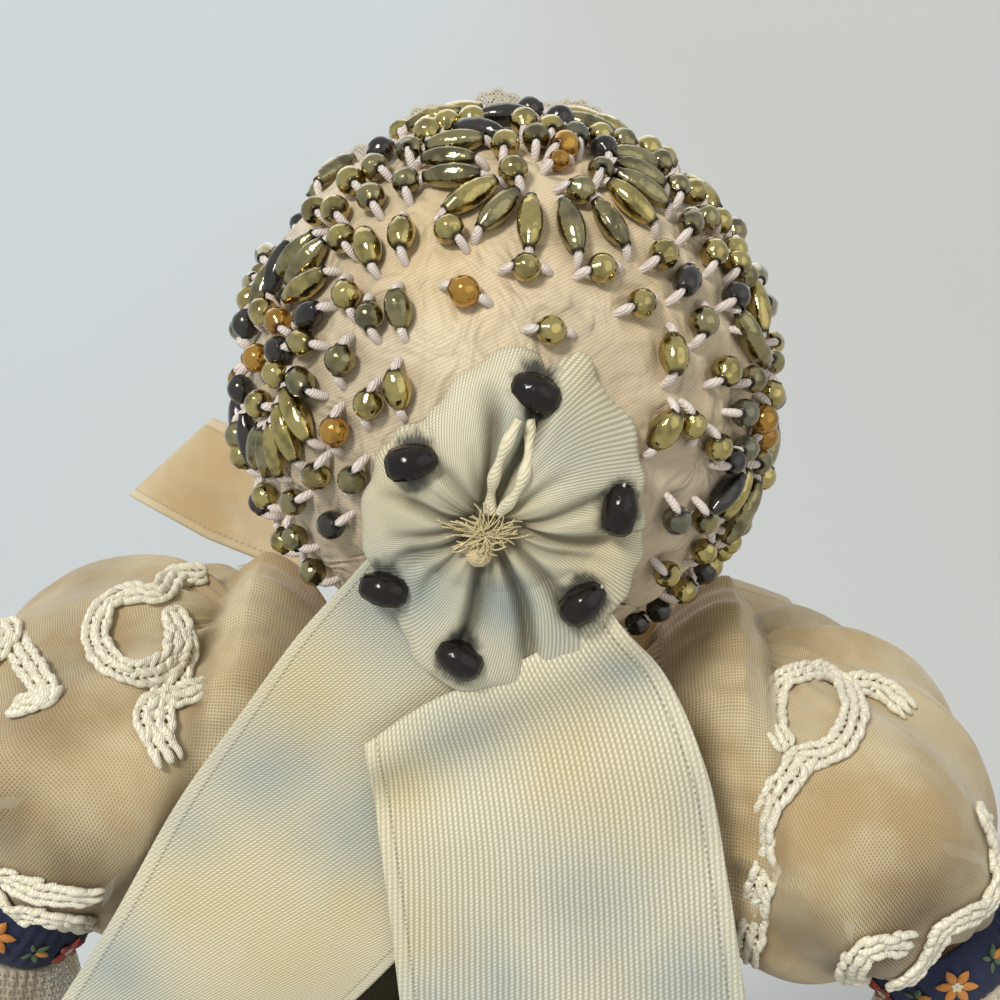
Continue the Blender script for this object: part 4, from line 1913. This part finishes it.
def shoulder_gathers(side, name):
    """The sleeve's gathers as they run in over the armhole seam and die away on the blouse."""
    columns = 240
    angles = np.arange(columns + 1) / columns * TURN
    rings = []
    sleeve_skin = sleeve_skins[name]
    for skin, x, lift, spare in (
        (hide_of(muslin), GATHERS_IN, 0.5, 16.5),
        (sleeve_skin, GATHERS_SEAM, 0.75, 20),
        (sleeve_skin, GATHERS_OUT, 0.4, 21.5),
    ):
        reach = np.full(columns, float(spare))
        middle = np.array([x * side, 0, GATHERS_Z])
        for i, angle in enumerate(angles[:-1]):
            out = np.array([0, math.cos(angle), math.sin(angle)])
            if x > 20 or out[2] > -0.25:
                hit = skin.ray_cast(Vector(middle + out * 34), Vector(-out), 24)[0]
                reach[i] = (np.array(hit) - middle) @ out if hit is not None else spare
        for _ in range(4):
            reach = (np.roll(reach, 1) + 2 * reach + np.roll(reach, -1)) / 4
        puff = 2.8 * np.clip(np.sin(angles), 0, 1) if x < 20 else 0
        rings.append(np.append(reach, reach[0]) + lift * (1 + puff))

    def at(down, across):
        angle = across * TURN
        reaches = [np.interp(angle, angles, ring) for ring in rings]
        x = GATHERS_IN + (GATHERS_OUT - GATHERS_IN) * down
        first = np.clip((x - GATHERS_IN) / (GATHERS_SEAM - GATHERS_IN), 0, 1)
        first = np.sin(first * math.pi / 2)
        last = np.clip((x - GATHERS_SEAM) / (GATHERS_OUT - GATHERS_SEAM), 0, 1)
        reach = reaches[0] + (reaches[1] - reaches[0]) * first + (reaches[2] - reaches[1]) * last
        middle = np.sin(np.clip(down, 0, 1) * math.pi)
        folds = 0.5 * np.sin(angle * 15 + 2 * np.sin(angle * 3) + 2 * down) + 0.35 * np.sin(angle * 31 + 3 * down)
        reach = reach + middle * (0.25 + folds * 0.8)
        return np.stack([x * side, reach * np.cos(angle), GATHERS_Z + reach * np.sin(angle)], 1)

    rows = 40
    made = cloth(f"shoulder_gathers_{name}", at, rows, columns, closed=True, uv=(130, 14))
    turn_outwards(made)
    share = np.linspace(0, 1, rows)
    mark(made, "fade", np.repeat(np.clip((share - 0.8) / 0.2, 0, 1) + np.clip((0.1 - share) / 0.1, 0, 1), columns))
    dress(made, sheer, None, slot="organza")
    side * 0.02
    side * 0.029
    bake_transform(made)
    declare_sheet(made, 1)


for side, name in SIDES:
    shoulder_gathers(side, name)

waist_at = waist_ring(164.6, 171.4, 2.0)
waistband = cloth("waistband_cloth", waist_at, 20, 180, True, 1.1, (125, 7))
dress(waistband, navy_cloth, "torso", "waistband", slot="dark_cloth")

band_at = waist_ring(165.6, 170.4, 3.3)
apron_band = cloth("apron_band_linen", band_at, 16, 180, True, 0.7, (130, 5))
dress(apron_band, linen, "torso", "apron_band", slot="linen")


# ---------------------------------------------------------------- skirt, petticoat and apron
BELL_EASE = 3.8
WAIST_WIDE, WAIST_DEEP = 21.25 + BELL_EASE, 15.13 + BELL_EASE
HEM_RADIUS, BELL_CURVE = 60, 2.1
SKIRT_TOP, SKIRT_HEM = 164.2, 58
BELL_HEIGHT = SKIRT_TOP - SKIRT_HEM
PLEATS, PLEAT_DEPTH, PLEAT_FULL_AT = 18, 1.7, 0.333


def bell_at(angle, share, offset):
    """Places on the skirt's bell, from its top at share 0 to its hem at share 1."""
    widen = 1 - (1 - share) ** BELL_CURVE
    wide = WAIST_WIDE + (HEM_RADIUS - WAIST_WIDE) * widen
    deep = WAIST_DEEP + (HEM_RADIUS - WAIST_DEEP) * widen
    z = SKIRT_TOP - BELL_HEIGHT * share
    return np.stack([(wide + offset) * np.cos(angle), (deep + offset) * np.sin(angle), z], 1)


def hang_sheet(made, wall):
    """Turns a sheet outwards, measures its area in square metres and gives it its wall."""
    turn_outwards(made)
    area = flat_area(made)
    thicken(made, wall)
    return area


def pleat_at(share):
    """How deep the pleats are, from nothing at the waist."""
    return PLEAT_DEPTH * np.minimum(1, share / PLEAT_FULL_AT)


def skirt_points(down, across):
    angle = across * TURN
    fold = np.cos(PLEATS * angle) + 0.22 * np.cos(2 * PLEATS * angle) - 0.1
    gathers = 0.35 * np.sin(90 * angle + 2 * np.sin(7 * angle)) * np.exp(-down * 9)
    sway = 0.35 * np.sin(5 * angle + 2.5 * down) * down
    return bell_at(angle, down, pleat_at(down) * 1.08 * fold + gathers + sway - 0.4)


skirt = cloth("skirt_wool_bell", skirt_points, 64, 414, True, uv=(480, 125))
skirt_area = hang_sheet(skirt, 0.6)


def petticoat_points(down, across):
    angle = across * TURN
    share = 0.12 + (1 - 1 / BELL_HEIGHT - 0.12) * down
    wave = 0.8 * down * (np.cos(9 * angle) - 1)
    fine = 0.18 * np.sin(45 * angle + 2 * np.sin(4 * angle)) * down
    return bell_at(angle, share, wave + fine - pleat_at(down) - 0.8 - 1.5 - 0.4)


petticoat = cloth("petticoat_linen", petticoat_points, 32, 216, True, uv=(330, 108.5))
petticoat_area = hang_sheet(petticoat, 0.5)
dress(petticoat, petticoat_lace, "torso", "petticoat", slot="linen")


def apron_points(down, across):
    share = 0.02 + (0.8 - 0.06 * (2 * across - 1) ** 4 - 0.02) * down
    angle = -math.pi / 2 + (across - 0.5) * math.radians(104) * (0.8 + 0.2 * down)
    fold = 0.9 * down * (1 + np.cos(5 * TURN * across + 0.8 * np.sin(down * 3)))
    gathers = 0.22 * np.sin(60 * TURN * across / 4) * np.exp(-down * 7)
    return bell_at(angle, share, pleat_at(share) + 0.6 + fold + gathers + 0.4)


apron = cloth("apron_linen", apron_points, 100, 130, uv=(96, 100))
apron_area = flat_area(apron)
thicken(apron, 0.45)


def skirt_finish():
    """Dark brown wool with woven bands above the hem."""
    finish = Finish("skirt_banded_wool", Sheen_Weight=0.3, Specular_IOR_Level=0.3)
    u, v, _ = finish.split(finish.cloth_place())
    place = finish.place()
    rows = plain_weave(finish, u, v, 0.5)
    colour = finish.mottled("#4e2b20", "#38201a", 60, 0.33, 0.7)

    def band(low, high):
        return finish.step(v, low - 0.1, low + 0.1) * (1 - finish.step(v, high - 0.1, high + 0.1))

    teeth = finish.step(finish.wave(u / 4) + (v - 118) * -0.25, 0.4, 0.6)
    colour = finish.blend(band(116, 121), colour, "#23263a")
    colour = finish.blend(band(116.6, 120.4) * teeth, colour, "#c98a34")
    colour = finish.blend(band(122.2, 123.2), colour, "#d8c79a")
    colour = finish.blend(band(113.8, 114.8), colour, "#d8c79a")
    colour = finish.blend(band(96, 97.2), colour, "#3f5a35")
    colour = finish.blend(band(98, 98.6), colour, "#c98a34")
    slubs = finish.noise(place, 700, 3, 0.7)
    colour = finish.blend((1 - rows) * 0.3, colour, "#6d6048", "MULTIPLY")
    raised = (band(113.8, 114.8) + band(122.2, 123.2) + band(116, 121) * 0.6) * 0.8
    return finish.set(
        Base_Color=colour, Roughness=0.84 + 0.1 * (slubs - 0.5), Normal=finish.bump(rows + slubs + raised * 3, 0.07)
    ).material


dress(skirt, skirt_finish(), "torso", "skirt", slot="skirt_cloth")


def apron_finish():
    """White linen that passes into a lace border with a scalloped edge."""
    finish = Finish("apron_linen_lace", Sheen_Weight=0.25, Specular_IOR_Level=0.3)
    u, v, _ = finish.split(finish.cloth_place())
    rows = plain_weave(finish, u, v, 0.46)
    inwards = finish.least(100 - v, 48 - finish.size_of(u - 48))
    near = finish.step(inwards, 8.6, 9.0)
    net = finish.most(finish.wave((u + v) / 1.3), finish.wave((u - v) / 1.3))
    threads = finish.step(net, 0.74, 0.9)
    over = (finish.part_of(u / 6.4) - 0.5) * 6.4
    up = (finish.part_of((v + 1.2) / 6.4) - 0.5) * 6.4
    reach = (over * over + up * up) ** 0.5
    petals = finish.wave(finish.turn_of(up, over) * (6 / TURN)) * 0.4 + 0.6
    bloom = (1 - finish.step(reach / petals, 1.7, 1.95)) * finish.step(reach, 0.3, 0.45)
    scallop = 0.35 + 0.5 * finish.wave((u + v) / 3.2)
    rim = 1 - finish.step(inwards, scallop + 0.5, scallop + 0.75)
    outside = 1 - finish.step(inwards, scallop - 0.15, scallop)
    cover = finish.most(bloom, rim, threads, near) * (1 - outside)
    colour = finish.mottled("#f2eadb", "#e0d4ba", 60)
    colour = finish.blend((1 - rows) * 0.25 * near, colour, "#8d8265", "MULTIPLY")
    hem_line = finish.step(inwards, 9.0, 9.2) * (1 - finish.step(inwards, 9.7, 9.9))
    colour = finish.blend(hem_line * 0.8, colour, "#b5402c")
    height = rows * near + finish.most(bloom, rim) * 1.6 + threads * 0.6 + hem_line * 1.5
    return finish.set(Base_Color=colour, Alpha=cover, Roughness=0.76, Normal=finish.bump(height, 0.08)).material


dress(apron, apron_finish(), "torso", "apron", slot="linen")

for k in range(9):
    across = 0.14 + 0.72 * k / 8
    spot = lie_on(apron_points, 0.80, across, 0.36)
    if k % 2 == 0:
        flower("torso", spot, 3.6, 7, "rnuro"[k // 2 % 5], "o" if k != 4 else "c", 0.3 * k)
    else:
        sprig("torso", spot, 3.4, "o", "g", math.pi)
for k in range(8):
    sprig("torso", lie_on(apron_points, 0.735 + 0.01 * (k % 2), 0.18 + 0.64 * k / 7, 0.36), 2.4, "rn"[k % 2], "g")
for k in range(3):
    spot = lie_on(apron_points, 0.62 - 0.05 * (k == 1), 0.32 + 0.18 * k, 0.36)
    flower("torso", spot, 2.8, 6, "onr"[k], "roo"[k])
for k in range(36):
    across = (k + 0.5) / 36
    spot = lie_on(skirt_points, 0.845, across, 0.36)
    if k % 2:
        flower("torso", spot, 3.5, 6, "oruc"[k // 2 % 4], "n" if k % 4 == 1 else "o", 0.2 * k)
    else:
        sprig("torso", spot, 3.4, "c", "g", math.pi if k % 4 else 0)


TIE_WIDTH = 9


def apron_tie_end(side, name):
    """One end of the apron's band, lying down the back of the skirt."""
    def at(down, across):
        share = (0.4 + 57.6 * down) / BELL_HEIGHT
        lying = pleat_at(share) + 0.95
        radius = bell_at(np.full_like(down, math.pi / 2), share, lying)[:, 1]
        width = TIE_WIDTH * (0.35 + 0.65 * np.minimum(1, down / 0.25))
        middle = 3.2 + (11.7 - 3.2) * down
        angle = math.pi / 2 - side * (middle + (across - 0.5) * width) / radius
        leave = np.maximum(0, 1 - down / 0.167) * 3.2
        wave = 0.3 * np.sin(down * 14 + across * 2) * np.minimum(1, down * 4) + 0.25
        points = bell_at(angle, share, lying + wave)
        points[:, 1] += leave
        return points

    made = cloth(f"apron_tie_{name}", at, 70, 22, wall=0.4, uv=(TIE_WIDTH, 60))
    dress(made, tie_linen, "torso", f"apron_end_{name}", slot="linen")
    declare_sheet(made)


tie_linen = woven("tie_linen", "#f2e9d5", "#e0d1ae", 0.4, 0.7)
for side, name in SIDES:
    corner = np.array([side * 17, 25.5, 171.2])
    bow_loop(
        f"apron_loop_{name}_linen", (side * 3.5, 22.3, 168), corner + np.array([side * 0.6, 0, 5.0]),
        corner + np.array([-side * 0.6, 0, -5.0]), f"apron_loop_{name}", tie_linen, 5, 2.5,
    )
    apron_tie_end(side, name)
knot("apron_tie_knot", (0, 22.3, 168), (3.2, 3.1, 3.2), "apron_knot", tie_linen, 6)


# ---------------------------------------------------------------- cuffs and flounces
CUFF_RADIUS, FLOUNCE_WIDE = 9.1, 96.6


def cuff_frame(side):
    """The start of a cuff's own axis, and the ways down it and across it."""
    origin = np.array([55.5 * side, 0, 214.0])
    return origin, CUFF_WAY * [side, 1, 1], CUFF_ACROSS * [side, 1, 1], np.array([0, 1.0, 0])


def around_cuff(side, angle, radius, down_mm):
    """Places round a cuff's axis, at radii and at millimetres down it."""
    origin, down_way, across_way, back_way = cuff_frame(side)
    return (
        origin + down_way * down_mm[:, None] + across_way * (radius * np.cos(angle))[:, None]
        + back_way * (radius * np.sin(angle))[:, None]
    )


def cuff_box(side, name):
    """Where the cuff starts and ends along its own axis, read from the frame's cuff."""
    origin, down_way, _, _ = cuff_frame(side)
    reach = (points_of(nodes[f"cuff_{name}"]) - origin) @ down_way
    return reach.min(), reach.max()


for side, name in SIDES:
    start, end = cuff_box(side, name)

    def cuff_points(down, across):
        # out over the top rim, down the outside and back up the inside
        angle = across * TURN
        turn_at = down * TURN
        ribs = 0.12 * np.sin(angle * 40) * np.clip(-np.cos(turn_at), 0, 1)
        radius = CUFF_RADIUS - 0.85 * np.cos(turn_at) + ribs
        along = (start + end) / 2 - (end - start) / 2 * np.sin(turn_at) * 0.97
        return around_cuff(side, angle, radius, along)

    rows, columns = 30, 240
    down = np.repeat(np.arange(rows) / rows, columns)
    across = np.tile(np.arange(columns) / columns, rows)
    cuff = mesh_of(
        f"cuff_cloth_{name}", cuff_points(down, across), grid_faces(rows, columns, True, True),
        np.stack([across * 60, down * 18], 1),
    )
    turn_outwards(cuff)
    dress(cuff, navy_cloth, f"arm_{name}", f"cuff_{name}", slot="embroidery")

    def flounce_points(down, across):
        angle = across * TURN
        flare = 8 * np.maximum(down, 1e-4) ** 0.8
        ruffle = 1.2 * down * np.cos(9 * angle + 0.5 * np.sin(4 * angle))
        gathers = 0.2 * np.sin(45 * angle) * np.exp(-down * 4)
        return around_cuff(side, angle, CUFF_RADIUS - 0.3 + flare + ruffle + gathers, end + 0.3 + 9 * down)

    flounce = cloth(f"flounce_lace_{name}", flounce_points, 24, 264, True, uv=(FLOUNCE_WIDE, 11.7))
    turn_outwards(flounce)
    thicken(flounce, 0.4)
    dress(flounce, flounce_lace, f"arm_{name}", f"flounce_{name}", slot="lace")
    declare_sheet(flounce)
    for k in range(12):
        angle = k * TURN / 12
        middle = np.array([(start + end) / 2])
        place = around_cuff(side, np.array([angle]), np.array([CUFF_RADIUS + 1.05]), middle)[0]
        _, down_way, across_way, back_way = cuff_frame(side)
        outward = across_way * math.cos(angle) + back_way * math.sin(angle)
        spot = (place, outward, down_way, np.cross(outward, down_way))
        if k % 2:
            flower(f"arm_{name}", spot, 2.4, 6, "ro"[k // 2 % 2], "c")
        else:
            sprig(f"arm_{name}", spot, 2.3, "o", "g", math.pi / 2)

sew_embroidery()


# ---------------------------------------------------------------- socks and shoes
HIP_Z, ANKLE_Z, HIP_X, LEG_HALF = 126, 12.6, 23, 16
SOCK_TOP, SOCK_LENGTH = 64, 45
# The leg's outline: share of its height, then half width, half depth and lean as shares of LEG_HALF
LEG_ROWS = np.array([
    [0, 0.34, 0.4, 0], [0.078, 0.35, 0.39, 0], [0.167, 0.37, 0.42, 0], [0.278, 0.47, 0.54, -0.05],
    [0.4, 0.54, 0.62, -0.05], [0.511, 0.53, 0.62, 0], [0.6, 0.57, 0.69, 0], [0.722, 0.64, 0.8, 0],
    [0.856, 0.66, 0.86, 0], [1, 0.6, 0.84, 0],
])


def sock_points(side):
    """A ribbed sock with a turned-over cuff, some way off the leg's outline."""
    def at(down, across):
        angle, z = across * TURN, SOCK_TOP - SOCK_LENGTH * down
        height = (z - ANKLE_Z) / (HIP_Z - ANKLE_Z)
        wide, deep, forward = (LEG_HALF * np.interp(height, LEG_ROWS[:, 0], LEG_ROWS[:, i]) for i in (1, 2, 3))
        cuff = 1 / (1 + np.exp((down * SOCK_LENGTH - 7.2) * 3))
        rib = 0.22 * np.cos(44 * angle) * (1 - 0.3 * cuff)
        offset = 1.0 + 0.75 * cuff + rib + 0.18 * np.sin(down * 40) * np.exp(-(1 - down) * 6)
        return np.stack(
            [HIP_X * side + (wide + offset) * np.cos(angle), forward + (deep + offset) * np.sin(angle), z], 1
        )
    return at


def knit_finish():
    """Ribbed cotton knit, with its stitches."""
    finish = Finish("sock_knit", Sheen_Weight=0.35, Specular_IOR_Level=0.25)
    u, v, _ = finish.split(finish.cloth_place())
    place = finish.place()
    stitches = finish.wave(u / 0.9 + 0.25 * finish.wave(v / 0.7)) * (0.5 + 0.5 * finish.wave(v / 0.7))
    colour = finish.mottled("#f0e8da", "#ddd2bd", 70, rough=0.5)
    colour = finish.blend((1 - stitches) * 0.3, colour, "#9a8d72", "MULTIPLY")
    fuzz = finish.noise(place, 3000, 2)
    return finish.set(
        Base_Color=colour, Roughness=0.85, Normal=finish.bump(stitches + fuzz * 0.4, 0.12)
    ).material


def leather_finish():
    """Black shoe leather, scuffed and creased."""
    finish = Finish("shoe_leather", Coat_Weight=0.25, Coat_Roughness=0.2)
    place = finish.place()
    grain = finish.cells(place, 1500)
    colour = finish.mottled("#2a211d", "#1a1513", 70, rough=0.5)
    scuffs = finish.step(finish.noise(place, 260, 4, 0.7), 0.6, 0.72)
    colour = finish.blend(scuffs * 0.5, colour, "#5b483a")
    creases = finish.wave(finish.noise(place, 240, 2) * 6)
    return finish.set(
        Base_Color=colour, Roughness=0.38 + 0.25 * scuffs, Normal=finish.bump(grain * 0.6 + creases * 0.5, 0.08)
    ).material


def sole_finish():
    """Stacked sole leather, seen as layers at its edge."""
    finish = Finish("sole_leather", Specular_IOR_Level=0.35)
    place = finish.place()
    _, _, z = finish.split(place)
    layers = finish.wave(z / MM / 0.8)
    colour = finish.mottled("#7b5636", "#5c3e27", 120, rough=0.5)
    colour = finish.blend(layers * 0.25, colour, "#3c2818")
    return finish.set(
        Base_Color=colour, Roughness=0.7, Normal=finish.bump(layers + finish.noise(place, 900, 3), 0.05)
    ).material


def brass_finish():
    """Brass, worn in places."""
    finish = Finish("button_brass", Metallic=1.0)
    place = finish.place()
    worn = finish.step(finish.noise(place, 700, 3), 0.4, 0.7)
    return finish.set(
        Base_Color=finish.blend(worn, "#c9a553", "#7d6428"), Roughness=0.22 + 0.2 * worn,
        Normal=finish.bump(finish.noise(place, 1500, 2), 0.02),
    ).material


def rubber_finish():
    """Braided cotton over rubber."""
    finish = Finish("elastic_rubber", Specular_IOR_Level=0.3)
    place = finish.place()
    x, y, z = finish.split(place)
    braid = finish.wave((x + z) / MM / 0.9) * finish.wave((y - z) / MM / 0.9)
    colour = finish.blend(finish.noise(place, 200, 3), "#cdbb94", "#a8946a")
    return finish.set(Base_Color=colour, Roughness=0.75, Normal=finish.bump(braid, 0.1)).material


knit, shoe_leather, sole_leather = knit_finish(), leather_finish(), sole_finish()
for side, name in SIDES:
    sock = cloth(f"sock_knit_{name}", sock_points(side), 76, 180, True, uv=(52, SOCK_LENGTH))
    area = hang_sheet(sock, 0.7)
    dress(sock, knit, f"leg_{name}", f"sock_{name}", slot="linen")
    for part, leather, slot, voxel, rounds in (
        ("upper", shoe_leather, "shoe_leather", 0.42, 9),
        ("strap", shoe_leather, "shoe_leather", 0.3, 6),
        ("sole", sole_leather, "sole_leather", 0.4, 8),
    ):
        soft_copy(f"shoe_{part}_leather_{name}", f"shoe_{part}_{name}", leather, f"leg_{name}", slot, voxel, rounds)

frame_finish = {
    "torso_shell": skin_finish, "arm_elastic": rubber_finish(), "strap_button": brass_finish(),
}
frame_finish["leg_elastic"] = frame_finish["head_elastic"] = frame_finish["arm_elastic"]
for name, piece in nodes.items():
    stem = name.removesuffix("_left").removesuffix("_right")
    if stem in frame_finish:
        piece.data.materials.clear()
        piece.data.materials.append(frame_finish[stem])


# ---------------------------------------------------------------- floor, light and hand-in
FLOOR_HALF = 12000


def floor():
    """A wide sheet of paper, a little cooler to one side."""
    finish = Finish("floor_paper", Specular_IOR_Level=0.1)
    x, _, _ = finish.split(finish.place())
    colour = finish.blend(finish.step(x, -0.5, 0.5), "#c9c9c5", "#cfd6d8")
    colour = finish.blend(finish.noise(finish.place(), 3, 2) * 0.1, colour, "#c9c9c6")
    finish.set(Base_Color=colour, Roughness=0.9)
    corners = [(x * FLOOR_HALF, y * FLOOR_HALF, 0) for x, y in ((-1, -1), (1, -1), (1, 1), (-1, 1))]
    made = mesh_of("floor", corners, [(0, 1, 2, 3)])
    made.data.materials.append(finish.material)


def sun(name, toward, strength, spread, colour=(1, 1, 1)):
    """A distant light from a direction, softened by its spread in degrees."""
    data = bpy.data.lights.new(name, "SUN")
    data.energy, data.angle, data.color = strength, math.radians(spread), colour
    placed(name, data).rotation_euler = Vector(toward).to_track_quat("Z", "Y").to_euler()


def sky():
    """A pale wall for the camera, reflections and see-through cloth, and a dimmer light on everything."""
    world = bpy.data.worlds.new("studio")
    world.use_nodes = True
    tree = world.node_tree
    tree.nodes.clear()
    new, link = tree.nodes.new, tree.links.new
    path = new("ShaderNodeLightPath")
    seen = path.outputs["Is Camera Ray"]
    for ray in ("Is Glossy Ray", "Is Transmission Ray"):
        either = new("ShaderNodeMath")
        either.operation = "MAXIMUM"
        link(seen, either.inputs[0])
        link(path.outputs[ray], either.inputs[1])
        seen = either.outputs[0]
    mixed, output = new("ShaderNodeMixShader"), new("ShaderNodeOutputWorld")
    link(seen, mixed.inputs[0])
    for slot, colour, strength in ((1, (0.96, 0.98, 1.0, 1), 0.4), (2, tint("#d3d7d7"), 1)):
        light = new("ShaderNodeBackground")
        light.inputs[0].default_value = colour
        light.inputs[1].default_value = strength
        link(light.outputs[0], mixed.inputs[slot])
    link(mixed.outputs[0], output.inputs[0])
    scene.world = world


floor()
sky()
sun("window", (0.42, 0.72, 0.75), 2.1, 14, (1.0, 0.985, 0.95))
sun("room", (-0.7, 0.6, 0.45), 0.4, 60)
sun("front_room", (0.2, -0.9, 0.5), 0.7, 60)
scene.view_settings.view_transform = "Standard"

for made in list(bpy.data.objects):
    if made.name.startswith("mould_"):
        bpy.data.objects.remove(made)
